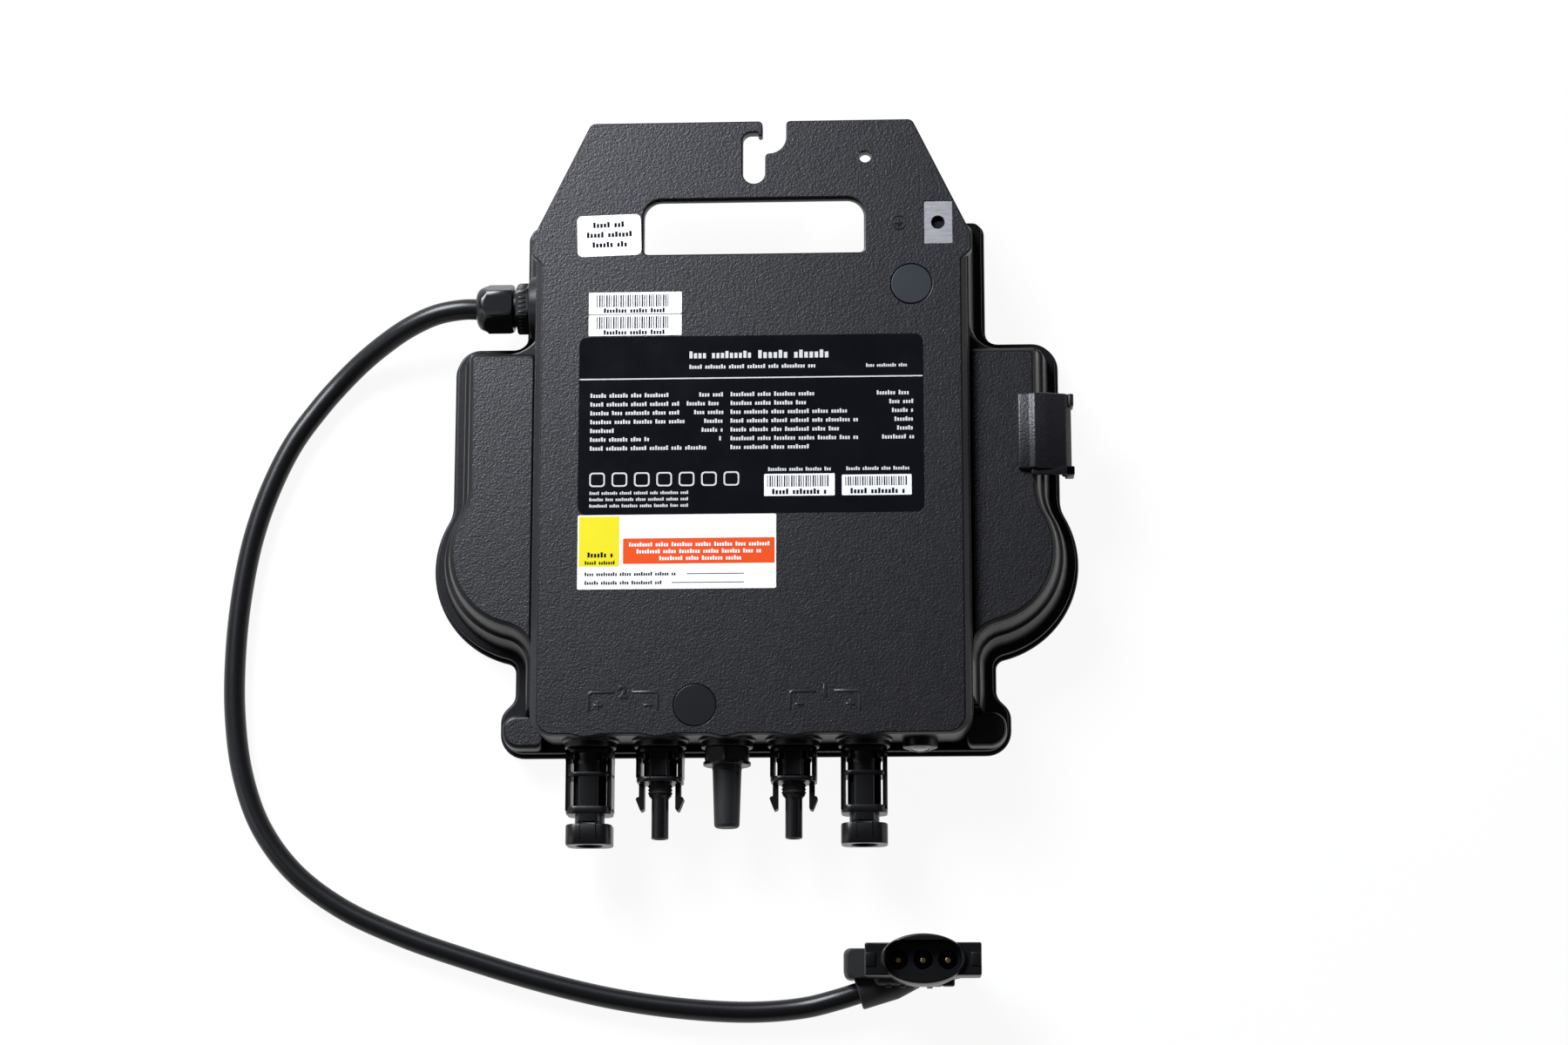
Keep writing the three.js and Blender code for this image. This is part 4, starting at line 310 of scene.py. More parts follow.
def mirrored(right):
    """An outline from its right half, whose edges keep their kinds on the left."""
    left = []
    for i, point in enumerate(right):
        left.append(point._replace(x=-point.x, kind=right[i - 1].kind))
    return right + left[::-1]


def tangent_meets(angle, x):
    """The Y at which the bulge's tangent at an angle meets an upright edge at x."""
    px = BULGE_X + BULGE_RADIUS * cos(angle)
    py = BULGE_Y + BULGE_RADIUS * sin(angle)
    return py - (x - px) * cos(angle) / sin(angle)


def bulge_angles():
    """The angles on the bulge's circle where the waist's and the wing's fillets touch it."""
    high = acos((WING_HALF_WIDTH + BULGE_FILLET - BULGE_X) / (BULGE_RADIUS + BULGE_FILLET))
    low = -acos((WAIST_HALF_WIDTH + WAIST_FILLET - BULGE_X) / (BULGE_RADIUS + WAIST_FILLET))
    return low, high


def arc_corner(low, high, steps):
    """The one corner whose fillet is the bulge's arc."""
    middle = (low + high) / 2
    reach = BULGE_RADIUS / cos((high - low) / 2)
    return corner(BULGE_X + reach * cos(middle), BULGE_Y + reach * sin(middle), BULGE_RADIUS, steps)


def rim_corners(ears=True):
    """The rim's outline. Above the ears the tray's own outline has a raised foot instead."""
    low, high = bulge_angles()
    foot = [
        corner(EAR_HALF_WIDTH, FOOT_Y, 10, 10),
        corner(EAR_HALF_WIDTH, EAR_TOP_Y, 8, 6),
        corner(WAIST_HALF_WIDTH, EAR_NECK_Y, 6, 6),
    ] if ears else [corner(WAIST_HALF_WIDTH, FOOT_Y + TRAY_FOOT_RISE, WAIST_FILLET)]
    return mirrored([
        *foot,
        corner(WAIST_HALF_WIDTH, tangent_meets(low, WAIST_HALF_WIDTH), WAIST_FILLET, 6),
        arc_corner(low, high, 32),
        corner(WING_HALF_WIDTH, tangent_meets(high, WING_HALF_WIDTH), BULGE_FILLET, 8),
        corner(WING_HALF_WIDTH, WING_TOP_Y, 11, 12),
        corner(SHOULDER_HALF_WIDTH, WING_TOP_Y, 5, 8),
        corner(SHOULDER_HALF_WIDTH, SHOULDER_Y, 5, 8),
        corner(RECESS_HALF_WIDTH + 5, SHOULDER_Y, 5, 6),
        corner(RECESS_HALF_WIDTH, RECESS_Y, 5, 6),
    ])


def arc(x, y, radius, start, end, steps):
    """Points of an arc."""
    angles = [start + (end - start) * k / steps for k in range(steps + 1)]
    return [(x + radius * cos(a), y + radius * sin(a)) for a in angles]


def pad_outline(inset, step):
    """A wing's pad: from the groove beside the panel it follows the rim up to the wing's top."""
    low, high = bulge_angles()
    inner = PAD_X + step
    waist_x, waist_reach = WAIST_HALF_WIDTH + WAIST_FILLET, WAIST_FILLET + inset
    waist_y = BULGE_Y + (BULGE_RADIUS + WAIST_FILLET) * sin(low)
    flank_y = BULGE_Y + (BULGE_RADIUS + BULGE_FILLET) * sin(high)
    top_y, round_top = WING_TOP_Y - inset, PAD_TOP_RADIUS - 0.3 * inset
    inner_x, inner_y = inner + PAD_INNER_RADIUS, top_y - PAD_INNER_RADIUS
    start = pi - acos((waist_x - inner) / waist_reach)
    return [
        *arc(waist_x, waist_y, waist_reach, start, low + pi, 8),
        *arc(BULGE_X, BULGE_Y, BULGE_RADIUS - inset, low, high, 32),
        *arc(WING_HALF_WIDTH + BULGE_FILLET, flank_y, BULGE_FILLET + inset, high + pi, pi, 8),
        *arc(WING_HALF_WIDTH - inset - round_top, top_y - round_top, round_top, 0, pi / 2, 6),
        *arc(inner_x, inner_y, PAD_INNER_RADIUS, pi / 2, pi, 5),
    ]


def wave_corners():
    """The panel's foot edge bulges out a little over each of the five couplers."""
    for x in (SOCKET_XS[0], PLUG_XS[0], ANTENNA_X, PLUG_XS[1], SOCKET_XS[1]):
        for step in (k / 5 for k in range(-5, 6)):
            y = PANEL_FOOT_Y - WAVE_DEPTH * (1 + cos(pi * step)) / 2
            yield corner(x + step * WAVE_HALF_WIDTH, y, kind="foot")


def core_corners():
    """The panel's walls, notched at the top by the recess behind the handle."""
    return [
        corner(-PANEL_HALF_WIDTH, PANEL_FOOT_Y, 7, 10, "foot"),
        *wave_corners(),
        corner(PANEL_HALF_WIDTH, PANEL_FOOT_Y, 7, 10),
        corner(PANEL_HALF_WIDTH, CORE_TOP_Y, 4),
        corner(CORE_NOTCH_HALF_WIDTH, CORE_TOP_Y, 4, 6, "foot"),
        corner(RECESS_HALF_WIDTH, CORE_NOTCH_Y, 4, 6, "foot"),
        corner(-RECESS_HALF_WIDTH, CORE_NOTCH_Y, 4, 6, "foot"),
        corner(-CORE_NOTCH_HALF_WIDTH, CORE_TOP_Y, 4),
        corner(-PANEL_HALF_WIDTH, CORE_TOP_Y, 4),
    ]


def face_corners():
    """Panel and hanger plate in one outline, with the bolt slot and the hook over it."""
    def edge(x, y, radius, steps=6):
        return corner(x, y, radius, steps, "hanger")
    lip_x = HOOK_TIP_X - 1.8
    return [
        corner(-PANEL_HALF_WIDTH, PANEL_FOOT_Y, 7, 10, "foot"),
        *wave_corners(),
        corner(PANEL_HALF_WIDTH, PANEL_FOOT_Y, 7, 10),
        edge(PANEL_HALF_WIDTH + 0.01, PANEL_NECK_Y, 3),
        edge(HANGER_HALF_WIDTH, HANGER_FOOT_Y, 3),
        edge(HANGER_HALF_WIDTH, HANGER_SLANT_Y, 4),
        edge(HANGER_TOP_HALF_WIDTH, HANGER_TOP_Y, 3),
        edge(ENTRY_RIGHT_X, HANGER_TOP_Y, 1.6, 4),
        edge(ENTRY_RIGHT_X, ENTRY_FLOOR_Y, 7.4, 8),
        edge(SLOT_RIGHT_X, ENTRY_FLOOR_Y, 1.6, 4),
        edge(SLOT_RIGHT_X, SLOT_LOW_Y, 4.45, 10),
        edge(SLOT_LEFT_X, SLOT_LOW_Y, 4.45, 10),
        edge(SLOT_LEFT_X, SLOT_HIGH_Y, 3.4, 8),
        edge(lip_x, SLOT_HIGH_Y, 0.7, 3),
        edge(lip_x, HOOK_TIP_Y, 0.7, 3),
        edge(HOOK_TIP_X, HOOK_TIP_Y, 0.9, 4),
        edge(HOOK_TIP_X, HANGER_TOP_Y, 1.8, 4),
        edge(-HANGER_TOP_HALF_WIDTH, HANGER_TOP_Y, 3),
        edge(-HANGER_HALF_WIDTH, HANGER_SLANT_Y, 4),
        edge(-HANGER_HALF_WIDTH, HANGER_FOOT_Y, 3),
        corner(-PANEL_HALF_WIDTH - 0.01, PANEL_NECK_Y, 3),
    ]


def circle(x, y, radius, count=48):
    """Points of a whole circle."""
    return [(x + radius * cos(2 * pi * k / count), y + radius * sin(2 * pi * k / count))
            for k in range(count)]


def circle_rings(x, y, steps, count):
    """Circles round one centre, each of the steps a radius and a height."""
    return [flat_ring(circle(x, y, radius, count), z) for radius, z in steps]


# Meshes

class Shape:
    """Collects closed bodies in one bmesh and turns them into a piece."""

    def __init__(self, turn=None):
        self.bm = bmesh.new()
        self.turn = turn

    def place(self, point):
        """Where a point of the shape's own axes lies in the scene."""
        return metres(*(point if self.turn is None else self.turn(*point)))

    def draw(self, rings, material=0):
        """A wall extruded from ring to ring. Gives the edges at its start and at its end."""
        verts = [self.bm.verts.new(self.place(point)) for point in rings[0]]
        start = edges = [self.bm.edges.new(pair) for pair in zip(verts, verts[1:] + verts[:1])]
        for points in rings[1:]:
            made = bmesh.ops.extrude_edge_only(self.bm, edges=edges)["geom"]
            fresh = {part for part in made if isinstance(part, bmesh.types.BMVert)}
            verts = [
                next(edge.other_vert(vert) for edge in vert.link_edges
                     if edge.other_vert(vert) in fresh)
                for vert in verts
            ]
            for vert, point in zip(verts, points):
                vert.co = self.place(point)
            edges = [self.bm.edges.get(pair) for pair in zip(verts, verts[1:] + verts[:1])]
            for edge in edges:
                edge.link_faces[0].material_index = material
        return start, edges

    def fill(self, *loops, material=0):
        """A flat face inside the first loop of edges, left open inside the other loops."""
        edges = [edge for loop in loops for edge in loop]
        made = bmesh.ops.triangle_fill(self.bm, use_beauty=True, use_dissolve=False, edges=edges)
        for part in made["geom"]:
            if isinstance(part, bmesh.types.BMFace):
                part.material_index = material
        for edge in edges:
            edge.smooth = False

    def loft(self, rings, holes=(), top=0, side=0, bottom=0):
        """A body through its rings from low to high; each hole is such a list of rings."""
        walls = [self.draw(stack, side) for stack in (rings, *holes)]
        self.fill(*(start for start, _ in walls), material=bottom)
        self.fill(*(end for _, end in walls), material=top)

    def turned(self, profile, segments=48, material=0, close=False):
        """A profile of (radius, height, fillet) spun round the local Z axis."""
        ends = [(0, profile[0][1], 0), *profile, (0, profile[-1][1], 0)]
        points = filleted(profile + profile[:1], 5) if close else filleted(ends, 5)[1:-1]
        part = bmesh.new()
        verts = [part.verts.new((max(radius, 0.01), 0, height)) for radius, height in points]
        edges = [part.edges.new(pair) for pair in zip(verts, verts[1:])]
        bmesh.ops.spin(
            part, geom=verts + edges, cent=(0, 0, 0), axis=(0, 0, 1), dvec=(0, 0, 0),
            angle=2 * pi, steps=segments, use_merge=True, use_duplicate=False,
        )
        if close:
            bmesh.ops.remove_doubles(part, verts=part.verts[:], dist=1e-4)
        else:
            rims = [edge for edge in part.edges if edge.is_boundary]
            bmesh.ops.holes_fill(part, edges=rims, sides=0)
            for edge in rims:
                edge.smooth = False
        for face in part.faces:
            face.material_index = material
        for vert in part.verts:
            vert.co = self.place(vert.co)
        mesh = bpy.data.meshes.new("turned")
        part.to_mesh(mesh)
        part.free()
        self.bm.from_mesh(mesh)
        bpy.data.meshes.remove(mesh)

    def box(self, x, y, z, bevel=0.3, material=0):
        """A box with bevelled edges between two values on each axis."""
        cube = bmesh.ops.create_cube(self.bm, size=1)
        for vertex in cube["verts"]:
            vertex.co = self.place([
                low + (high - low) * (share + 0.5)
                for (low, high), share in zip((x, y, z), vertex.co)
            ])
        edges = {edge for vertex in cube["verts"] for edge in vertex.link_edges}
        for face in {face for edge in edges for face in edge.link_faces}:
            face.material_index = material
        bmesh.ops.bevel(
            self.bm, geom=list(edges), offset=bevel * MM, segments=3, profile=0.5,
            affect="EDGES", material=-1, clamp_overlap=True,
        )

    def piece(self, name, finishes, replaces=(), body=BODY, slot=None):
        """Ends the shape as an object whose faces' material indices count its finishes."""
        bm = self.bm
        bmesh.ops.recalc_face_normals(bm, faces=bm.faces)
        for face in bm.faces:
            face.smooth = True
        for edge in bm.edges:
            if edge.is_manifold and edge.calc_face_angle(0) > SHARP_ANGLE:
                edge.smooth = False
        mesh = bpy.data.meshes.new(name)
        bm.to_mesh(mesh)
        bm.free()
        for finish in finishes:
            mesh.materials.append(MATERIALS[finish])
        return show(bpy.data.objects.new(name, mesh), replaces, body)


def show(obj, replaces=(), body=BODY):
    """Links a piece to the scene, hangs it on its body and hides the parts that it replaces."""
    bpy.context.scene.collection.objects.link(obj)
    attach(obj, body)
    if replaces:
        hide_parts(*replaces)
    return obj


def along_y(x, z, tilt=0.0, pivot_y=0.0):
    """Local Z runs along the world's Y, so that a turned profile's heights are Y values."""
    def turn(u, v, w):
        dy = w - pivot_y
        return (x + u, pivot_y + dy * cos(tilt) - v * sin(tilt), z + v * cos(tilt) + dy * sin(tilt))
    return turn


def along_x(y, z):
    """Local Z runs along the world's X."""
    return lambda u, v, w: (w, y + u, z + v)


def standing(x, y):
    """Local Z stays upright, with its origin at x and y."""
    return lambda u, v, w: (x + u, y + v, w)


# Materials

class Socket:
    """A node's output that can be added, subtracted and multiplied as a number."""

    def __init__(self, graph, output):
        self.graph = graph
        self.output = output

    def math(self, operation, *inputs):
        return self.graph.node("ShaderNodeMath", inputs, operation=operation)

    def __add__(self, other):
        return self.math("ADD", self, other)

    def __radd__(self, other):
        return self.math("ADD", other, self)

    def __sub__(self, other):
        return self.math("SUBTRACT", self, other)

    def __rsub__(self, other):
        return self.math("SUBTRACT", other, self)

    def __mul__(self, other):
        return self.math("MULTIPLY", self, other)

    def __rmul__(self, other):
        return self.math("MULTIPLY", other, self)


class Graph:
    """A material whose nodes are written as sums of sockets."""

    def __init__(self, name):
        self.material = bpy.data.materials.new(name)
        self.material.use_nodes = True
        self.tree = self.material.node_tree
        self.shader = self.tree.nodes["Principled BSDF"]

    def feed(self, node, key, value):
        """Links a socket to a node's input, or sets the input to a value."""
        if isinstance(value, Socket):
            self.tree.links.new(value.output, node.inputs[key])
        else:
            node.inputs[key].default_value = value

    def node(self, kind, inputs=(), output=0, **settings):
        """A new node with its settings and inputs. Gives one of its outputs."""
        made = self.tree.nodes.new(kind)
        for key, value in settings.items():
            setattr(made, key, value)
        for key, value in inputs.items() if isinstance(inputs, dict) else enumerate(inputs):
            self.feed(made, key, value)
        return Socket(self, made.outputs[output])

    def place(self):
        return self.node("ShaderNodeTexCoord", output="Object")

    def noise(self, size, detail=3.0, roughness=0.55):
        """Noise whose grain is about the given size in millimetres."""
        inputs = {"Vector": self.place(), "Scale": 1 / (size * MM), "Detail": detail,
                  "Roughness": roughness}
        return self.node("ShaderNodeTexNoise", inputs, output="Fac")

    def blend(self, factor, low, high):
        """Mixes two colours. Inputs 6 and 7 and output 2 are the mix node's colours."""
        inputs = {0: factor, 6: (*low, 1), 7: (*high, 1)}
        return self.node("ShaderNodeMix", inputs, output=2, data_type="RGBA")

    def bump(self, height, depth, strength=1.0):
        """Normals of a relief whose depth is given in millimetres."""
        inputs = {"Strength": strength, "Distance": depth * MM, "Height": height}
        return self.node("ShaderNodeBump", inputs, output="Normal")

    def set(self, **inputs):
        """Sets the shader's inputs by their names, written with underscores."""
        for key, value in inputs.items():
            self.feed(self.shader, key.replace("_", " "), value)
        return self.material


def shade(colour, share):
    """A colour made darker or lighter by a share."""
    return tuple(share * channel for channel in colour)


def textured_coat(finish):
    """Wrinkled powder coat of the panel, the wings and the clip."""
    graph = Graph("textured_coat")
    size = finish.grain_size / MM
    grain = graph.noise(size, 1) + graph.noise(1.8 * size, 1) * 0.4
    wear = graph.noise(34, 4, 0.6)
    return graph.set(
        Base_Color=graph.blend(wear, shade(finish.coat_colour, 0.56), finish.coat_colour),
        Roughness=graph.noise(5, 3) * 0.1 + 0.37,
        Specular_IOR_Level=0.4,
        Normal=graph.bump(grain, finish.grain_depth / MM, 1.0),
    )


def smooth_coat():
    """The same coat where it is thin and glossy, on walls, bevels and bosses."""
    graph = Graph("smooth_coat")
    ripple = graph.noise(1.6, 3)
    return graph.set(
        Base_Color=graph.blend(graph.noise(20), (0.004, 0.004, 0.005), (0.0065, 0.0065, 0.0075)),
        Roughness=ripple * 0.12 + 0.3,
        Specular_IOR_Level=0.2,
        Normal=graph.bump(ripple, 0.05, 0.5),
    )


def moulded(name, dark, light, roughness, grain=0.35):
    """Moulded plastic or rubber with a fine grain and slight colour changes."""
    graph = Graph(name)
    fine = graph.noise(grain, 3)
    return graph.set(
        Base_Color=graph.blend(graph.noise(9), dark, light),
        Roughness=fine * 0.14 + (roughness - 0.07),
        Specular_IOR_Level=0.25,
        Normal=graph.bump(fine, 0.02, 0.6),
    )


def metal(name, dark, light, roughness):
    """Metal with drawn or brushed marks along one axis."""
    graph = Graph(name)
    mapped = graph.node("ShaderNodeMapping", {"Vector": graph.place(), "Scale": (1, 12, 1)})
    inputs = {"Vector": mapped, "Scale": 260, "Detail": 4.0}
    lines = graph.node("ShaderNodeTexNoise", inputs, output="Fac")
    return graph.set(
        Base_Color=graph.blend(lines, dark, light),
        Metallic=1.0,
        Roughness=lines * 0.25 + (roughness - 0.12),
        Normal=graph.bump(lines, 0.02, 0.4),
    )


def printed(name, colour):
    """A printed sticker face."""
    graph = Graph(name)
    film = graph.noise(14, 2)
    return graph.set(
        Base_Color=graph.blend(film, shade(colour, 0.93), colour),
        Roughness=film * 0.1 + 0.37,
        Specular_IOR_Level=0.2,
    )


def nameplate_film():
    """Glossy black film of the large plate, with faint smears."""
    graph = Graph("nameplate_film")
    smear = graph.noise(18, 5, 0.65)
    return graph.set(
        Base_Color=graph.blend(smear, (0.002, 0.0021, 0.0032), (0.0042, 0.0044, 0.0065)),
        Roughness=smear * 0.2 + 0.05,
        Specular_IOR_Level=0.4,
    )


def lens_plastic():
    graph = Graph("lens_plastic")
    cloud = graph.noise(2.4, 2)
    return graph.set(
        Base_Color=graph.blend(cloud, (0.1, 0.105, 0.105), (0.2, 0.205, 0.205)),
        Roughness=cloud * 0.1 + 0.12,
        Coat_Weight=0.6,
    )


MATERIALS = {}

# The casting's two finishes, in the order of its faces' material indices: smooth, then textured.
# Labels lie on the casting.
COATS = ("smooth", "textured")


def make_materials(finish):
    plastic, jacket = finish.plastic_colour, finish.jacket_colour
    MATERIALS.update({
        "textured": textured_coat(finish),
        "smooth": smooth_coat(),
        # The raised marks are cast in the face's own coat; their lighter colour is painted
        # highlight that stands for the light on their flanks
        "mark": moulded("raised_marks", (0.012, 0.012, 0.014), (0.018, 0.018, 0.02), 0.3),
        "plastic": moulded("coupler_plastic", shade(plastic, 0.55), plastic, 0.32),
        "gloss": moulded("gland_plastic", plastic, shade(plastic, 1.4), 0.2),
        "plug": moulded("plug_plastic", (0.011, 0.011, 0.0115), (0.016, 0.016, 0.0165), 0.5),
        "jacket": moulded("cable_jacket", shade(jacket, 0.57), jacket, 0.32, 0.7),
        "rubber": moulded("seal_rubber", (0.01, 0.01, 0.01), (0.015, 0.015, 0.015), 0.75),
        "grey": moulded("fill_plug_plastic", (0.013, 0.016, 0.02), (0.019, 0.022, 0.027), 0.45),
        "dark": moulded(
            "lower_plug_plastic", (0.005, 0.005, 0.0065), (0.0075, 0.0075, 0.0095), 0.36,
        ),
        "aluminium": metal("bare_aluminium", (0.2, 0.2, 0.21), (0.36, 0.36, 0.37), 0.5),
        "steel": metal("screw_steel", (0.32, 0.32, 0.33), (0.5, 0.5, 0.51), 0.35),
        "brass": metal("pin_brass", (0.62, 0.4, 0.12), (0.85, 0.6, 0.24), 0.28),
        "copper": metal("winding_copper", (0.35, 0.12, 0.04), (0.5, 0.19, 0.07), 0.4),
        "lens": lens_plastic(),
        "pale": moulded("lens_rim", (0.3, 0.3, 0.3), (0.42, 0.42, 0.42), 0.3),
        "film": nameplate_film(),
        "white": printed("label_white", finish.label_white),
        "print": printed("label_print", finish.print_colour),
        "yellow": printed("label_yellow", finish.label_yellow),
        "orange": printed("label_orange", finish.label_orange),
        "board": moulded("board_green", (0.012, 0.08, 0.035), (0.02, 0.12, 0.05), 0.45),
        "ferrite": moulded("ferrite", (0.03, 0.03, 0.033), (0.05, 0.05, 0.055), 0.7),
        "sleeve": moulded("capacitor_sleeve", (0.015, 0.05, 0.25), (0.025, 0.07, 0.32), 0.35),
    })


def paint(node, key):
    """Gives a carried-over solid its finish."""
    for slot in bpy.data.objects[node].material_slots:
        slot.material = MATERIALS[key]


# Settings, operators and panel

def colour_setting(name, description, default):
    return bpy.props.FloatVectorProperty(
        name=name, description=description, default=default, size=3, min=0, max=1,
        subtype="COLOR",
    )


class InverterFinish(bpy.types.PropertyGroup):
    """Colours and grain of the finishes"""

    coat_colour: colour_setting("Coat", "Powder coat on the casting", (0.005, 0.0047, 0.0072))
    plastic_colour: colour_setting("Plastic", "Couplers and gland", (0.0055, 0.0055, 0.006))
    jacket_colour: colour_setting("Cable", "Jacket of the cable", (0.007, 0.007, 0.008))
    label_white: colour_setting("White", "Ground of the white labels", (0.7, 0.7, 0.7))
    label_yellow: colour_setting("Yellow", "Yellow field of the long label", (0.62, 0.54, 0.008))
    label_orange: colour_setting("Orange", "Orange field of the long label", (0.62, 0.06, 0.004))
    print_colour: colour_setting("Print", "Strokes on the black nameplate", (0.5, 0.5, 0.5))
    grain_size: bpy.props.FloatProperty(
        name="Grain", description="Size of the coat's wrinkles", default=0.78 * MM, min=0.1 * MM,
        precision=5, unit="LENGTH", subtype="DISTANCE",
    )
    grain_depth: bpy.props.FloatProperty(
        name="Grain depth", description="Depth of the coat's wrinkles", default=0.145 * MM, min=0,
        precision=5, unit="LENGTH", subtype="DISTANCE",
    )
    label_thickness: bpy.props.FloatProperty(
        name="Label thickness", description="Thickness of the sticker film",
        default=LABEL_THICKNESS * MM, min=0.05 * MM, max=0.25 * MM, precision=5, unit="LENGTH",
        subtype="DISTANCE",
    )


class InverterSettings(bpy.types.PropertyGroup):
    """The stage's camera and lamps"""

    camera_distance: bpy.props.FloatProperty(
        name="Camera distance", description="From the camera to the point that it looks at",
        default=1.2, min=0.5, unit="LENGTH", subtype="DISTANCE",
    )
    camera_focal: bpy.props.FloatProperty(
        name="Focal length", description="Lens of the camera", default=69.17, min=20,
        unit="CAMERA",
    )
    key_power: bpy.props.FloatProperty(
        name="Key light", description="Power of the softbox above the hanger plate", default=37.0,
        min=0, unit="POWER",
    )
    side_power: bpy.props.FloatProperty(
        name="Side lights", description="Power of each softbox at the side", default=5.0, min=0,
        unit="POWER",
    )


class INVERTER_OT_finishes(bpy.types.Operator):
    """Make the coats, plastics, metals and label films"""

    bl_idname = "inverter.finishes"
    bl_label = "Finishes"

    def execute(self, context):
        make_materials(context.scene.inverter_finish)
        return {"FINISHED"}


# Each softbox: its name, its place and size in metres, and its power as a share of a setting
LAMPS = (
    ("key_light", (-0.58, 0.72, 0.78), (0.55, 0.5), "key_power", 1.0),
    ("left_light", (-1.5, -0.3, 0.95), (0.5, 1.2), "side_power", 1.0),
    ("right_light", (1.6, 0.0, 0.36), (1.3, 0.4), "side_power", 0.8),
)
LAMP_COLOUR = (0.9, 0.93, 1)


class INVERTER_OT_stage(bpy.types.Operator):
    """Make the floor, the lights, the world and the camera"""

    bl_idname = "inverter.stage"
    bl_label = "Stage"

    def execute(self, context):
        settings = context.scene.inverter
        make_camera(context.scene, settings)
        make_world(context.scene)
        make_floor()
        for name, place, size, power, share in LAMPS:
            make_light(name, place, size, share * getattr(settings, power))
        return {"FINISHED"}


# The point that the camera looks at, its lean from straight down to the right and towards the
# foot, and how far its frame is shifted, as a share of the frame's width
CAMERA_TARGET = (12.4, -79.8, 20.0)
CAMERA_LEAN = (0.0426, -0.1828)
CAMERA_SHIFT = 0.1


def make_camera(scene, settings):
    """Tilted a little from straight down and shifted up, as the photograph is framed."""
    target = Vector(CAMERA_TARGET) * MM
    direction = Vector((*(sin(lean) for lean in CAMERA_LEAN), 1)).normalized()
    right = (-direction).cross(Vector((0, 1, 0))).normalized()
    axes = Matrix((right, right.cross(-direction), direction)).transposed().to_4x4()
    data = bpy.data.cameras.new("camera")
    data.lens = settings.camera_focal
    data.sensor_width = 36
    data.shift_y = CAMERA_SHIFT
    data.clip_end = 20
    camera = bpy.data.objects.new("camera", data)
    camera.matrix_world = Matrix.Translation(target + direction * settings.camera_distance) @ axes
    scene.collection.objects.link(camera)
    scene.camera = camera


def seen_directly(graph):
    """1 for rays from the camera, from a reflection or through glass, and 0 for other rays."""
    camera, glossy, glass = (
        graph.node("ShaderNodeLightPath", output=f"Is {kind} Ray")
        for kind in ("Camera", "Glossy", "Transmission")
    )
    return camera.math("MAXIMUM", camera.math("MAXIMUM", camera, glossy), glass)


def make_world(scene):
    """Dim, slightly blue light from all round."""
    world = bpy.data.worlds.new("studio")
    world.use_nodes = True
    tree = world.node_tree
    dim = tree.nodes["Background"]
    dim.inputs["Color"].default_value = (0.9, 0.95, 1, 1)
    dim.inputs["Strength"].default_value = 0.05
    scene.world = world


# The floor's radius, the height of the wall at its edge and its gap under the object, in
# metres, and the share of its seen colour that is plain white
FLOOR_RADIUS = 4.0
FLOOR_WALL = 1.2
FLOOR_GAP = 0.0002
FLOOR_GLOW = 0.93


def make_floor():
    """A round floor with a low wall at its far edge, so that level views have a pale backdrop."""
    bm = bmesh.new()
    bmesh.ops.create_circle(bm, cap_ends=True, radius=FLOOR_RADIUS, segments=64)
    wall = bmesh.ops.extrude_edge_only(bm, edges=bm.edges[:])["geom"]
    top = [part for part in wall if isinstance(part, bmesh.types.BMVert)]
    bmesh.ops.translate(bm, verts=top, vec=(0, 0, FLOOR_WALL))
    mesh = bpy.data.meshes.new("floor")
    bm.to_mesh(mesh)
    bm.free()
    graph = Graph("floor")
    paper = graph.noise(60, 3)
    graph.set(
        Base_Color=graph.blend(paper, (0.9, 0.9, 0.9), (0.93, 0.93, 0.93)),
        Roughness=paper * 0.1 + 0.85,
        Specular_IOR_Level=0.1,
    )
    lit = Socket(graph, graph.shader.outputs[0])
    glow = graph.node("ShaderNodeEmission")
    both = graph.node("ShaderNodeMixShader", [seen_directly(graph) * FLOOR_GLOW, lit, glow])
    graph.feed(graph.tree.nodes["Material Output"], "Surface", both)
    mesh.materials.append(graph.material)
    floor = bpy.data.objects.new("floor", mesh)
    floor.location.z = -FLOOR_GAP
    bpy.context.scene.collection.objects.link(floor)


def make_light(name, place, size, power):
    """A softbox that faces the scene's middle."""
    data = bpy.data.lights.new(name, "AREA")
    data.shape = "RECTANGLE"
    data.size, data.size_y = size
    data.energy = power
    data.color = LAMP_COLOUR
    light = bpy.data.objects.new(name, data)
    light.location = place
    light.rotation_euler = (-Vector(place)).to_track_quat("-Z", "Y").to_euler()
    bpy.context.scene.collection.objects.link(light)


# The cable's route repeats the part's own, with the same smooth curve through it

CABLE_POINTS = [
    (-105.9, 72.2, 20), (-112, 72.2, 20), (-119, 72.2, 20), (-130, 70.6, 18.8),
    (-142, 66.2, 15.6), (-153, 60.2, 11.4), (-163, 53.2, 7.6), (-172, 44.9, 5.2),
    (-180, 35.6, CABLE_REST_Z), (-190.6, 20.4, CABLE_REST_Z), (-199.6, 1, CABLE_REST_Z),
    (-206, -19.6, CABLE_REST_Z), (-210, -43, CABLE_REST_Z), (-211.8, -68, CABLE_REST_Z),
    (-211.2, -93, CABLE_REST_Z), (-207.4, -117, CABLE_REST_Z), (-199.4, -138.4, CABLE_REST_Z),
    (-185.6, -156.8, CABLE_REST_Z), (-166.2, -171.4, CABLE_REST_Z),
    (-141.8, -182.8, CABLE_REST_Z), (-113, -192.8, CABLE_REST_Z), (-83.7, -201.6, CABLE_REST_Z),
    (-54.6, -208.4, CABLE_REST_Z), (-25.6, -212.4, CABLE_REST_Z), (0, -213.6, CABLE_REST_Z),
    (20, -212, CABLE_REST_Z + 0.7),
]
BARREL_MOUTH = Vector((41.5, -206.4, 7.4))
BARREL_ANGLE = radians(17)
BARREL_LEAD = 9.0
SPAN_STEPS = 8


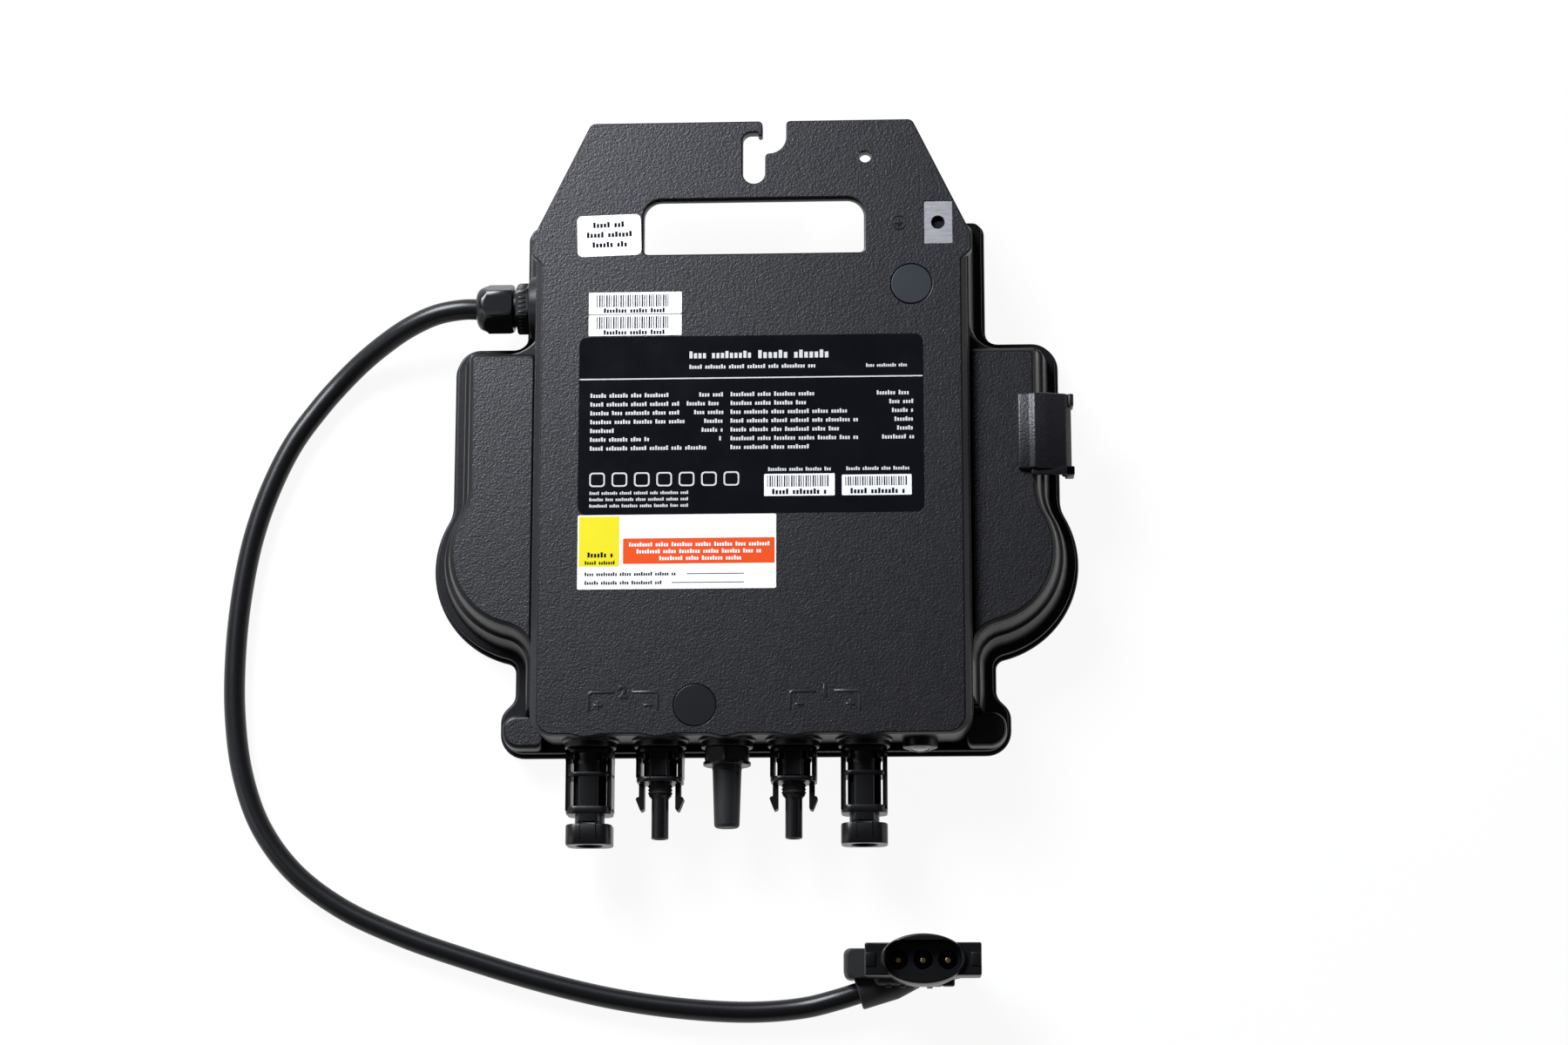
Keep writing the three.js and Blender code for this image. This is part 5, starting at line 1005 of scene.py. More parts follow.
def cable_route():
    """The centre line in metres: a centripetal curve through the points, mirrored at its ends."""
    heading = Vector((cos(BARREL_ANGLE), sin(BARREL_ANGLE), 0))
    end = BARREL_MOUTH - heading * SEAT_GAP
    points = [Vector(point) for point in CABLE_POINTS] + [end - heading * BARREL_LEAD, end]
    points = [2 * points[0] - points[1], *points, 2 * points[-1] - points[-2]]
    route = []
    for p0, p1, p2, p3 in zip(points, points[1:], points[2:], points[3:]):
        t0, t1, t2 = ((b - a).length ** 0.5 for a, b in ((p0, p1), (p1, p2), (p2, p3)))
        leave = ((p1 - p0) / t0 - (p2 - p0) / (t0 + t1) + (p2 - p1) / t1) * t1
        reach = ((p2 - p1) / t1 - (p3 - p1) / (t1 + t2) + (p3 - p2) / t2) * t1
        cubic, square = 2 * p1 - 2 * p2 + leave + reach, 3 * p2 - 3 * p1 - 2 * leave - reach
        for t in (k / SPAN_STEPS for k in range(SPAN_STEPS)):
            route.append(p1 + leave * t + square * t * t + cubic * t ** 3)
    route.append(points[-2])
    return [metres(*point) for point in route]


class INVERTER_OT_cable(bpy.types.Operator):
    """Make the AC cable along its route, with the plug at its end"""

    bl_idname = "inverter.cable"
    bl_label = "AC cable and plug"

    def execute(self, context):
        route = cable_route()
        data = bpy.data.curves.new("mains_cable", "CURVE")
        data.dimensions = "3D"
        data.bevel_depth = CABLE_RADIUS * MM
        data.bevel_resolution = 6
        data.use_fill_caps = True
        spline = data.splines.new("POLY")
        spline.points.add(len(route) - 1)
        for point, place in zip(spline.points, route):
            point.co = (*place, 1)
        data.materials.append(MATERIALS["jacket"])
        cable = show(bpy.data.objects.new("mains_cable", data), ["ac_cable"])
        make_ac_plug()
        return {"FINISHED"}


def make_ac_plug():
    """The pieces that the cable carries at its end."""
    shells = [make_plug_front(), make_plug_back()]
    return shells + [make_plug_pin(i + 1, step) for i, step in enumerate(PLUG_PIN_STEPS)]


def stadium(half_length, half_width):
    """A rectangle with half round ends."""
    radius = half_width - 0.05
    corners = rectangle(-half_length, half_length, -half_width, half_width, radius, 16)
    return outline(corners)


def grown(points, by):
    """Points moved away from the middle."""
    return [(x + by * x / hypot(x, y), y + by * y / hypot(x, y)) for x, y in points]


def make_plug_front():
    """The oval nose with its recess and three wells, and the square plate joined to it."""
    shape = Shape(standing(*PLUG_CENTRE))
    low, top, plate_top, floor_z = 19.3, PLUG_TOP_Z, 34.4, PLUG_TOP_Z - 6
    oval_x, oval_y, plate_x, plate_y = 16.6, 9.8, 22.6, 6.4
    oval = [(oval_x * x, oval_y * y) for x, y in circle(0, 0, 1, 72)]
    recess = stadium(15.2, 7.0)
    foot, rim = shape.draw([flat_ring(grown(oval, by), z) for by, z in (
        (-0.6, low), (0, low + 0.6), (0, top - 0.9), (-0.25, top - 0.25), (-0.9, top),
    )])
    mouth, floor = shape.draw([flat_ring(grown(recess, by), z) for by, z in (
        (0.5, top), (0.1, top - 0.35), (0, top - 1), (0, floor_z + 0.4), (-0.4, floor_z),
    )])
    well_steps = ((4.0, floor_z), (3.8, floor_z - 0.3), (3.8, low + 2.4))
    wells = [shape.draw(circle_rings(step, 0, well_steps, 32)) for step in PLUG_PIN_STEPS]
    for _, well_floor in wells:
        shape.fill(well_floor)
    shape.fill(foot)
    shape.fill(rim, mouth)
    shape.fill(floor, *(well for well, _ in wells))
    plate = []
    joint = asin(plate_y / oval_y)
    for side in (-1, 1):
        plate += [corner(side * plate_x, side * y, 0.8) for y in (-plate_y, plate_y)]
        plate += [corner(side * x * oval_x, side * y * oval_y)
                  for x, y in arc(0, 0, 1, joint, pi - joint, 24)]
    outside = [flat_ring(outline(plate, inset), z) for z, inset in (
        (low, 0.6), (low + 0.6, 0), (plate_top - 0.6, 0), (plate_top - 0.17, 0.17),
        (plate_top, 0.6),
    )]
    levels = (low, low + 0.6, plate_top - 0.6, plate_top)
    shape.loft(outside, [[flat_ring(grown(recess, 0.8), z) for z in levels]])
    for side in (-1, 1):
        x = sorted((side * 18.4, side * 22.4))
        shape.box(x, (-2.6, 2.6), (plate_top - 1, plate_top + 0.7), 0.4)
    return shape.piece("plug_face", ["plastic"], ["ac_plug_front"])


def make_plug_back():
    """The plug's rear shell with its side block and ribs, and the barrel round the cable."""
    shape = Shape()
    middle = PLUG_CENTRE[1]
    levels = ((1.0, 37.2, 77.6, 4.7), (1.6, 36.2, 79, 5.5), (2.8, 35.6, 79.8, 5.9),
              (15, 35.6, 84.6, 5.9), (18.3, 36.6, 84.6, 5.6), (19, 37.4, 84, 5.1))
    shape.loft([
        flat_ring(outline(rectangle(left, right, middle - half, middle + half, 2.6)), z)
        for z, left, right, half in levels
    ])
    shape.box((47.5, 75.5), (middle - 8.8, middle), (5.4, 18), 2.2)
    shape.box((74.2, 79.2), (-204.4, -200.8), (11.5, 16), 0.8)
    for x in (52 + 5.4 * k for k in range(4)):
        shape.box((x, x + 2.4), (middle - 9.5, middle - 6), (7, 16.5), 0.5)
    along, across = cos(BARREL_ANGLE), sin(BARREL_ANGLE)
    shape.turn = lambda u, v, w: BARREL_MOUTH + Vector((
        w * along - u * across, w * across + u * along, v,
    ))
    shape.turned([(6.8, -0.3, 0.9), (6.8, 14.4, 2), (4.9, 24, 1)], 48)
    return shape.piece("plug_shell", ["plug"], ["ac_plug_back"])


def make_plug_pin(number, step):
    x, y = PLUG_CENTRE
    shape = Shape(standing(x + step, y))
    shape.turned([(3.6, 21.4, 0.1), (3.6, 22.3, 0.1)], 32, 1)
    shape.turned([(1.25, 21.6, 0.1), (1.25, 28.6, 0.9)], 24)
    return shape.piece(f"plug_pin_{number}", ["brass", "plastic"], [f"ac_plug_pin_{number}"])


class INVERTER_OT_housing(bpy.types.Operator):
    """Make the casting: tray, wing pads, panel walls, face with the hanger plate, bosses"""

    bl_idname = "inverter.housing"
    bl_label = "Housing"

    def execute(self, context):
        make_tray().piece("housing_tray", COATS, ["housing"])
        make_wing_pads().piece("housing_pads", COATS)
        make_core().piece("housing_walls", COATS)
        make_face().piece("housing_face", COATS)
        make_foot_blocks().piece("housing_corners", COATS)
        make_bosses()
        make_earth_patch()
        return {"FINISHED"}


def make_tray():
    """The flange with its ears, and the sloped tray that rises from it."""
    shape = Shape()
    flange = [(HOUSING_BACK_Z, 1.8, 0), (HOUSING_BACK_Z + 0.3, 1.4, 0.2), (7.5, 1.4, 0.5),
              (7.6, 2.2, 0)]
    shape.loft(lofted_rings(rim_corners(), side=flange))
    walls = [(6.6, 4.2, 0), (20, 6.8, 0.9), (20.75, 8.3, 0.6), (TRAY_TOP_Z - 0.1, 10.0, 0),
             (TRAY_TOP_Z, 10.4, 0)]
    shape.loft(lofted_rings(rim_corners(ears=False), side=walls))
    return shape


def make_wing_pads():
    """The raised flat tops of the two wings, with a groove left beside the panel."""
    shape = Shape()
    outer = filleted([(29.2, 10.3, 0), (TRAY_TOP_Z, 10.05, 0), (31.7, 10.3, 0.9),
                      (PAD_TOP_Z, 11.6, 0.6), (PAD_TOP_Z + 0.01, 12.1, 0)])
    inner = filleted([(29.2, 0, 0), (32.4, 0.05, 0.5), (PAD_TOP_Z, 0.6, 0.4),
                      (PAD_TOP_Z + 0.01, 0.9, 0)])
    heights = sorted({round(z, 4) for z, _ in outer + inner})
    rings = [flat_ring(pad_outline(value_at(outer, z), value_at(inner, z)), z) for z in heights]
    shape.loft(rings, top=1)
    shape.turn = lambda x, y, z: (-x, y, z)
    shape.loft(rings, top=1)
    return shape


def make_core():
    """The panel's upright walls under the painted face."""
    shape = Shape()
    side = [(5, -3.4, 0), (36.1, -3.1, 0.3), (36.4, -2.5, 0.3), (38.3, -2.3, 0.2), (38.7, -1.6, 0)]
    foot = [(5, 0.7, 0), (38.7, 0.7, 0)]
    shape.loft(lofted_rings(core_corners(), side=side, foot=foot))
    coat_left_slope(shape)
    return shape


def eased(low, high, edge):
    """Levels from low to high, each with how far the surface is drawn back there."""
    return ((low, edge), (low + 0.3 * edge, 0.3 * edge), (low + edge, 0), (high - edge, 0),
            (high - 0.3 * edge, 0.3 * edge), (high, edge))


def hole_rings(points, low, high, edge):
    """Rings of a hole with eased rims. The points take how far the hole grows."""
    return [flat_ring(points(grow), z) for z, grow in eased(low, high, edge)]


def round_hole(x, y, radius, low, high, edge=0.25):
    return hole_rings(lambda grow: circle(x, y, radius + grow, 40), low, high, edge)


def handle_hole(low, high):
    corners = [
        corner(HANDLE_LEFT_X, HANDLE_LOW_Y, 1.8), corner(HANDLE_RIGHT_X, HANDLE_LOW_Y, 1.8),
        corner(HANDLE_RIGHT_X, HANDLE_HIGH_Y, 7, 12), corner(HANDLE_LEFT_X, HANDLE_HIGH_Y, 7, 12),
    ]
    return hole_rings(lambda grow: outline(corners, -grow), low, high, 0.8)


def make_face():
    """The painted face of panel and hanger plate, with its holes."""
    shape = Shape()
    low, top = HANGER_LOW_Z, FACE_Z
    side = [(low, -1.9, 0), (38.5, -2.3, 0.3), (top - 0.25, -0.15, 0.5), (top, 0.45, 0)]
    foot = [(low, 0.6, 0), (38.6, -0.6, 0.5), (top - 0.25, 0, 0.4), (top, 0.45, 0)]
    hanger = [(low, 0.6, 0), (low + 0.2, 0.2, 0.3), (low + 0.6, 0, 0.4), (top - 0.6, 0, 0.4),
              (top - 0.2, 0.2, 0.3), (top, 0.6, 0)]
    holes = [
        handle_hole(low, top),
        round_hole(*HANGER_HOLE, 2.4, low, top),
        round_hole(*FILL_UPPER, 8.4, low, top),
        round_hole(*FILL_LOWER, 8.55, low, top, 0.15),
        hole_rings(lambda grow: earth_outline(-grow), low, top, 0.1),
    ]
    rings = lofted_rings(face_corners(), side=side, foot=foot, hanger=hanger)
    shape.loft(rings, holes, top=1, bottom=1)
    coat_left_slope(shape)
    return shape


def coat_left_slope(shape):
    """The panel's left slope has the wrinkled coat of the panel, right down to the groove."""
    for face in shape.bm.faces:
        centre = face.calc_center_median()
        if centre.x < -PANEL_HALF_WIDTH * MM and centre.z > SLOPE_LOW_Z * MM:
            face.material_index = 1


def earth_outline(inset):
    return outline(rectangle(
        EARTH_X - EARTH_HALF_WIDTH, EARTH_X + EARTH_HALF_WIDTH,
        EARTH_Y - EARTH_HALF_HEIGHT, EARTH_Y + EARTH_HALF_HEIGHT, 0.3, 2,
    ), inset)


def make_earth_patch():
    """Bare metal in a shallow recess, with the blind hole for the earth screw."""
    shape = Shape()
    top = FACE_Z - 0.35
    foot, rim = shape.draw([
        flat_ring(earth_outline(0.02), z) for z in (HANGER_LOW_Z + 0.02, top)
    ])
    hole_steps = ((2.8, top), (2.5, top - 0.3), (2.5, top - 4))
    hole, hole_floor = shape.draw(circle_rings(EARTH_X, EARTH_Y, hole_steps, 32))
    shape.fill(foot)
    shape.fill(hole_floor)
    shape.fill(rim, hole, material=1)
    shape.piece("earth_patch", ["smooth", "aluminium"], slot="bare_aluminium")


def make_foot_blocks():
    """The corner blocks on the ears, each with a textured pad on top."""
    shape = Shape()
    outer, low = EAR_HALF_WIDTH - 1.4, FOOT_Y + 1.4
    rings = []
    for z, inset in ((5, 0.4), (13.2, 0.8), (13.9, 0.95), (14.5, 1.3), (14.88, 1.8), (15, 2.4)):
        top_y = EAR_TOP_Y - 1.4 - inset
        corners = [
            corner(85, low + inset, 2.5, 8), corner(outer - inset, low + inset, 7.6 - inset, 8),
            corner(outer - inset, top_y, 6.4 - inset, 8), corner(85, top_y, 1, 8),
        ]
        rings.append(flat_ring(outline(corners), z))
    shape.loft(rings, top=1)
    shape.turn = lambda x, y, z: (-x, y, z)
    shape.loft(rings, top=1)
    return shape


def make_bosses():
    """The round bosses behind the couplers, the antenna, the lens and the gland."""
    shape = Shape()
    for x in (*SOCKET_XS, *PLUG_XS, ANTENNA_X):
        shape.turn = along_y(x, AXIS_Z)
        shape.turned([(10.3, BOSS_FACE_Y, 0.8), (10.3, FOOT_WALL_Y - 1.2, 0.4),
                      (11.4, FOOT_WALL_Y - 0.6, 0.8), (11.6, FOOT_WALL_Y + 3, 0)])
    shape.turn = along_y(LENS_X, LENS_Z)
    shape.turned([(4.9, -107, 0), (4.9, -110.2, 0.1), (7, -110.2, 0.9), (7.2, -104, 0)])
    shape.turn = along_x(GLAND_Y, AXIS_Z)
    shape.turned([(12.4, -90.9, 0.8), (14.3, -85.1, 0.4), (14.3, -81, 0)])
    shape.piece("housing_bosses", ["smooth"])


class INVERTER_OT_cover(bpy.types.Operator):
    """Make the back cover with its screws"""

    bl_idname = "inverter.cover"
    bl_label = "Back cover"

    def execute(self, context):
        places = [
            (SHOULDER_HALF_WIDTH - SCREW_INSET, SHOULDER_Y - SCREW_INSET),
            (WING_HALF_WIDTH - SCREW_INSET, WING_TOP_Y - SCREW_INSET),
            (BODY_HALF_WIDTH - BULGE_SCREW_INSET, BULGE_Y),
            (EAR_HALF_WIDTH - FOOT_SCREW_INSET, FOOT_Y + FOOT_SCREW_INSET),
        ]
        places = [(sign * x, y) for x, y in places for sign in (1, -1)]
        shape = Shape()
        profile = [(0, 1.1, 0), (0.15, 0.5, 0.3), (0.8, 0, 0.5), (2.0, 0, 0.4),
                   (COVER_THICKNESS, 0.5, 0)]
        steps = ((3.9, 0), (3.72, 0.2), (3.65, 0.5), (2.0, 2.0), (2.0, COVER_THICKNESS))
        holes = [circle_rings(x, y, steps, 28) for x, y in places]
        shape.loft(lofted_rings(rim_corners(), side=profile), holes, bottom=1)
        shape.piece("cover_plate", COATS, ["back_cover"])
        for i, (x, y) in enumerate(places):
            make_cover_screw(i + 1, x, y)
        paint("cover_gasket", "rubber")
        return {"FINISHED"}


def make_cover_screw(number, x, y):
    """A countersunk screw with a six-lobed drive, seen from below."""
    shape = Shape(standing(x, y))
    lobes = [
        ((1.45 + 0.3 * cos(6 * a)) * cos(a), (1.45 + 0.3 * cos(6 * a)) * sin(a))
        for a in (2 * pi * k / 48 for k in range(48))
    ]
    steps = ((3.2, 0.22), (3.4, 0.4), (3.3, 0.6), (1.7, 1.7), (1.7, 10.2), (1.1, 11))
    head, tip = shape.draw(circle_rings(0, 0, steps, 48))
    drive, drive_floor = shape.draw([flat_ring(lobes, z) for z in (0.22, 1.4)])
    shape.fill(head, drive)
    shape.fill(tip)
    shape.fill(drive_floor)
    shape.piece(f"cover_screw_head_{number}", ["steel"], [f"cover_screw_{number}"])


class INVERTER_OT_fittings(bpy.types.Operator):
    """Make the fill plugs, the lens and the cable clip"""

    bl_idname = "inverter.fittings"
    bl_label = "Fill plugs, lens and clip"

    def execute(self, context):
        make_fill_plug("fill_disc_upper", "fill_plug_upper", FILL_UPPER, 8.1, FACE_Z + 0.15, "grey")
        make_fill_plug("fill_disc_lower", "fill_plug_lower", FILL_LOWER, 8.3, FACE_Z + 0.02, "dark")
        make_lens()
        make_clip()
        return {"FINISHED"}


def make_fill_plug(name, node, place, radius, top, finish):
    """A round plug with a stem in the face."""
    shape = Shape(standing(*place))
    shape.turned([(radius - 2.2, 36.9, 0.4), (radius - 2.2, 39.6, 0.1), (radius, 39.8, 0.1),
                  (radius, top, 0.35)], 64)
    shape.piece(name, [finish], [node])


def make_lens():
    """The lens in its pale rim, tilted up a little."""
    shape = Shape(along_y(LENS_X, LENS_Z, radians(-9), -110.2))
    shape.turned([(LENS_RADIUS, -104.4, 0.1), (LENS_RADIUS, -110.5, 0.4), (3.9, -110.6, 0.3),
                  (3.7, -110.2, 0.2)], 48, 1)
    shape.turned([(3.65, -109, 0.1), (3.65, -110.2, 0.3), (2.4, -110.7, 1.2),
                  (0.9, -110.85, 1)], 48)
    shape.piece("lens_dome", ["lens", "pale"], ["indicator_lens"])


def make_clip():
    """The hood over the wing's edge: a sloped roof, a hanging wall and two lips."""
    shape = Shape()
    inner, ridge, outer = 106.1, 112.4, 127.6
    seat, low_z = PAD_TOP_Z + SEAT_GAP, 19.5
    section = [
        corner(inner, seat, 0.1, 2), corner(ridge, seat, 0.4, 2),
        corner(outer - 4.6, seat - 1.0, 1.2, 4), corner(outer - 2.6, seat - 2.6, 0.8, 4),
        corner(outer - 2.6, low_z + 2, 0.3, 3), corner(outer - 3.6, low_z + 1, 0.3, 3),
        corner(outer - 3.2, low_z, 0.3, 3), corner(outer - 0.6, low_z, 0.8, 5),
        corner(outer, seat - 1.2, 2.2, 8), corner(outer - 2.4, seat + 0.8, 2.5, 6),
        corner(ridge + 5, seat + 2.8, 12, 8), corner(ridge + 0.3, seat + 3.5, 1.6, 8),
        corner(ridge - 1.5, seat + 2.4, 1.6, 8), corner(inner, seat + 2.0, 1.1, 8),
    ]
    low, high = -3.4, 30.0

    def ring(y, inset):
        return [(x, y, z) for x, z in outline(section, inset)]

    edge = [(0, 0.6), (0.12, 0.34), (0.34, 0.12), (0.6, 0)]
    ends = [ring(low + 2.6 + y, inset) for y, inset in edge]
    shape.loft(ends + [ring(high - y, inset) for y, inset in reversed(edge)], side=1)
    shape.box((ridge - 1, outer + 0.9), (low, low + 3.4), (seat + 0.02, seat + 1.5), 0.5, 0)
    shape.box((outer - 2.6, outer + 0.9), (low, low + 3.4), (seat - 7, seat + 1.5), 0.5, 0)
    shape.box((outer - 1.2, outer + 0.9), (high - 5, high), (seat - 7, seat + 0.4), 0.5, 1)
    shape.piece("clip_hood", COATS, ["cable_clip"])


class INVERTER_OT_couplers(bpy.types.Operator):
    """Make the four DC couplers with their arms, seals and contacts, and the antenna"""

    bl_idname = "inverter.couplers"
    bl_label = "DC couplers and antenna"

    def execute(self, context):
        for i, x in enumerate(SOCKET_XS):
            make_socket(i + 1, x)
        for i, x in enumerate(PLUG_XS):
            make_plug(i + 1, x)
        make_antenna()
        return {"FINISHED"}


def section_rings(half_width, half_height, radius, y0, y1, edge=0.4):
    """Rings of a rounded section in X and Z from one Y to the next, with eased ends."""
    corners = rectangle(-half_width, half_width, -half_height, half_height, radius, 8)
    steps = eased(*sorted((y0, y1)), edge)
    return [flat_ring(outline(corners, inset), w) for w, inset in steps]


def coupler_base(shape, end_y):
    """Base disc, round core and the two side rails of a coupler."""
    base = COUPLER_BASE_Y
    shape.loft(section_rings(9.15, 8, 4.6, base - 1.9, base, 0.3))
    shape.turned([(6.6, end_y, 0.1), (6.6, base - 6, 2), (7.6, base - 2.5, 2),
                  (7.6, base - 1.5, 0.1)])
    for side in (-1, 1):
        shape.box(sorted((side * 7.3, side * 9.15)), (-5.6, 5.6), (end_y, base - 1), 0.6)
        shape.box(sorted((side * 5.2, side * 9.1)), (-6.8, 6.8), (base - 4.4, base - 1.4), 0.8)


def make_socket(number, x):
    """A wide coupler: two ribbed lengths, a collar with its bore, and the contact pin."""
    shape = Shape(along_y(x, AXIS_Z))
    neck_y, collar_y = -137.0, -141.0
    coupler_base(shape, neck_y + 2)
    shape.loft(section_rings(9.15, 8, 4.6, -120.3, -122.3, 0.5))
    shape.loft(section_rings(9.15, 8, 4.4, -134, neck_y, 0.5))
    strip = rectangle(-4.2, 4.2, -7.75, 7.75, 1.2, 4)
    shape.loft([flat_ring(outline(strip), w) for w in (collar_y + 1, -121)])
    for side in (-1, 1):
        shape.box(sorted((side * 7.6, side * 9.0)), (-4.4, 4.4), (-134.5, -121.8), 0.5)
        shape.box((-3.2, 3.2), sorted((side * 6.4, side * 7.9)), (-146.6, collar_y + 0.5), 0.5)
    outer = section_rings(9.2, 8, 4.6, SOCKET_END_Y, collar_y, 0.6)
    steps = ((5.6, 0), (5.3, 0.3), (5.3, 6.6), (4.7, 7.4), (4.7, 8), (4.7, collar_y - SOCKET_END_Y))
    bore = [(radius, SOCKET_END_Y + rise) for radius, rise in steps]
    shape.loft(outer, [circle_rings(0, 0, bore, 40)])
    shape.turned([(4.7, -125, 0), (4.7, collar_y, 0), (5.9, collar_y, 0.1), (5.9, -135, 0)],
                 close=True)
    shape.piece(f"socket_shell_{number}", ["plastic"], [f"dc_socket_{number}"])
    pin = Shape(along_y(x, AXIS_Z))
    pin.turned([(4.3, -124.4, 0.1), (4.3, -126.3, 0.1), (2, -126.4, 0.1), (2, -140.4, 1.5)], 32)
    pin.piece(f"socket_pin_{number}", ["brass"], [f"contact_pin_{number}"])


def make_plug(number, x):
    """A slim coupler: plate, hollow nose, ribbed seal, contact sleeve and two arms."""
    shape = Shape(along_y(x, AXIS_Z))
    plate_y = PLUG_PLATE_END_Y + 2
    coupler_base(shape, plate_y + 0.5)
    shape.loft(section_rings(9.15, 8, 4.6, PLUG_PLATE_END_Y, plate_y, 0.5))
    shape.box((-3.6, 3.6), (-7.6, 7.6), (plate_y, COUPLER_BASE_Y - 1.5), 0.8)
    seal_end = PLUG_PLATE_END_Y - 4.4
    shape.turned([
        (2.5, PLUG_PLATE_END_Y + 1, 0), (2.5, PLUG_TIP_Y, 0.2), (3.4, PLUG_TIP_Y, 0.5),
        (3.4, seal_end - 1.8, 0.6), (4.7, seal_end - 0.3, 0.2), (3.8, seal_end - 0.28, 0.1),
        (3.8, PLUG_PLATE_END_Y + 1, 0),
    ], 48, close=True)
    shape.piece(f"plug_shell_{number}", ["plastic"], [f"dc_plug_{number}"])
    seal = Shape(along_y(x, AXIS_Z))
    start = PLUG_PLATE_END_Y - 0.3
    ribs = []
    for k in range(3):
        y = start - 0.35 - 1.35 * k
        ribs += [(4.45, y, 0.3), (5.0, y - 0.5, 0.4), (4.45, y - 1.0, 0.3)]
    seal.turned([(4.1, seal_end, 0), (4.1, start, 0), (4.6, start, 0.1), *ribs,
                 (4.6, seal_end, 0.1)], 48, close=True)
    seal.piece(f"seal_ring_{number}", ["rubber"], [f"plug_seal_{number}"])
    sleeve = Shape(along_y(x, AXIS_Z))
    sleeve.turned([(1.4, -133, 0), (1.4, -145.7, 0.1), (2.2, -145.7, 0.2), (2.2, -128.4, 0.1)],
                  32, close=True)
    sleeve.piece(f"sleeve_{number}", ["brass"], [f"contact_sleeve_{number}"])
    for side, word in ((-1, "left"), (1, "right")):
        make_arm(number, x, side, word)


def make_arm(number, x, side, word):
    """A thin spring arm with a barb near its tip."""
    root = PLUG_PLATE_END_Y - SEAT_GAP
    inner, outer = -0.85, 0.85
    profile = [
        corner(inner, root, 0.1, 2), corner(inner, root - 10, 0.4, 3),
        corner(0, root - 10.6, 0.3, 3),
        corner(outer - 0.5, root - 10.6, 0.4, 3), corner(outer + 1.3, root - 6.1, 0.3, 3),
        corner(outer + 0.9, root - 5.5, 0.2, 3), corner(outer, root - 5.4, 0.3, 3),
        corner(outer, root, 0.1, 2),
    ]
    shape = Shape(lambda u, v, w: (x + side * (7.2 + u), v, AXIS_Z + w))
    rings = [
        flat_ring(outline(profile, -inset), z)
        for z, inset in ((-2.6, 0.2), (-2.4, 0), (2.4, 0), (2.6, 0.2))
    ]
    shape.loft(rings)
    name = f"latch_arm_{number}_{word}"
    shape.piece(f"spring_arm_{number}_{word}", ["plastic"], [name], body=name)


def make_antenna():
    """The hexagon foot with its disc, and the tapered sleeve."""
    base = Shape(along_y(ANTENNA_X, AXIS_Z))
    end = COUPLER_BASE_Y - 5.5
    base.loft(hex_rings(9.9, ((end, 9.4), (end + 0.8, 9.9), (COUPLER_BASE_Y - 0.8, 9.9),
                              (COUPLER_BASE_Y, 9.4)), pi / 2))
    base.turned([(9.5, end - 1.2, 0.5), (9.5, end + 0.2, 0.1)], 64)
    base.piece("antenna_foot", ["plastic"], ["antenna_base"])
    cap = Shape(along_y(ANTENNA_X, AXIS_Z))
    start = end - 1.5
    cap.turned([(5.0, start - 24.5, 1.6), (5.75, start - 1.6, 0.4), (5.9, start - 1.2, 0.3),
                (5.9, start, 0.3)], 64)
    cap.piece("antenna_sleeve", ["plug"], ["antenna_cap"])
    paint("antenna_rod", "copper")


HEX_POINTS = 96


def hex_rings(radius, steps, turn=0.0):
    """Rings of a hexagon of that corner radius, cut back to a round limit at each step."""
    rings = []
    for w, limit in steps:
        ring = []
        for a in (2 * pi * k / HEX_POINTS for k in range(HEX_POINTS)):
            flat = radius * cos(pi / 6) / cos((a + turn) % (pi / 3) - pi / 6)
            r = min(flat, limit)
            ring.append((r * cos(a), r * sin(a), w))
        rings.append(ring)
    return rings


class INVERTER_OT_gland(bpy.types.Operator):
    """Make the cable gland: body with its ribs, dome nut and seal"""

    bl_idname = "inverter.gland"
    bl_label = "Cable gland"

    def execute(self, context):
        body = Shape(along_x(GLAND_Y, AXIS_Z))
        body.loft(hex_rings(10.9, ((-96.3, 10.2), (-95.7, 10.9), (-91.8, 10.9), (-91.2, 10.3))))
        for k in range(30):
            a = 2 * pi * (k + 0.5) / 30
            reach = 10.55 * cos(pi / 6) / cos(a % (pi / 3) - pi / 6)
            u, v = reach * cos(a), reach * sin(a)
            body.box((u - 0.5, u + 0.5), (v - 0.5, v + 0.5), (-95.2, -92.3), 0.22)
        body.turned([(7.5, -105.6, 0.4), (7.5, -96, 0)])
        body.piece("gland_stem", ["plastic"], ["gland_body"])
        make_nut()
        seal = Shape(along_x(GLAND_Y, AXIS_Z))
        seal.turned([(4.55, -110.7, 0.1), (5.4, -110.7, 0.3), (6.9, -108.8, 0.2),
                     (6.9, -105.9, 0.2), (4.55, -105.9, 0.1)], close=True)
        seal.piece("gland_grommet", ["rubber"], ["gland_seal"], body="gland_seal")
        paint("gland_locknut", "steel")
        return {"FINISHED"}


def make_nut():
    """The dome nut: a hexagon that narrows to a round nose, with its bore."""
    shape = Shape(along_x(GLAND_Y, AXIS_Z))
    steps = ((-112.8, 6.6), (-112.5, 7.2), (-111.9, 8.0), (-110.9, 8.7), (-109.7, 9.15),
             (-108.9, 9.6), (-108.3, 10.4), (-99.2, 10.4), (-98.6, 10.1), (-98.0, 9.6))
    rings = hex_rings(10.4, steps)
    bore = ((4.75, -112.8), (4.6, -112.4), (4.6, -111.2), (7.85, -109.4), (7.85, -98.4),
            (8.1, -98.0))
    shape.loft(rings, [circle_rings(0, 0, bore, HEX_POINTS)])
    shape.piece("gland_dome_nut", ["gloss"], ["gland_nut"], body="gland_nut")


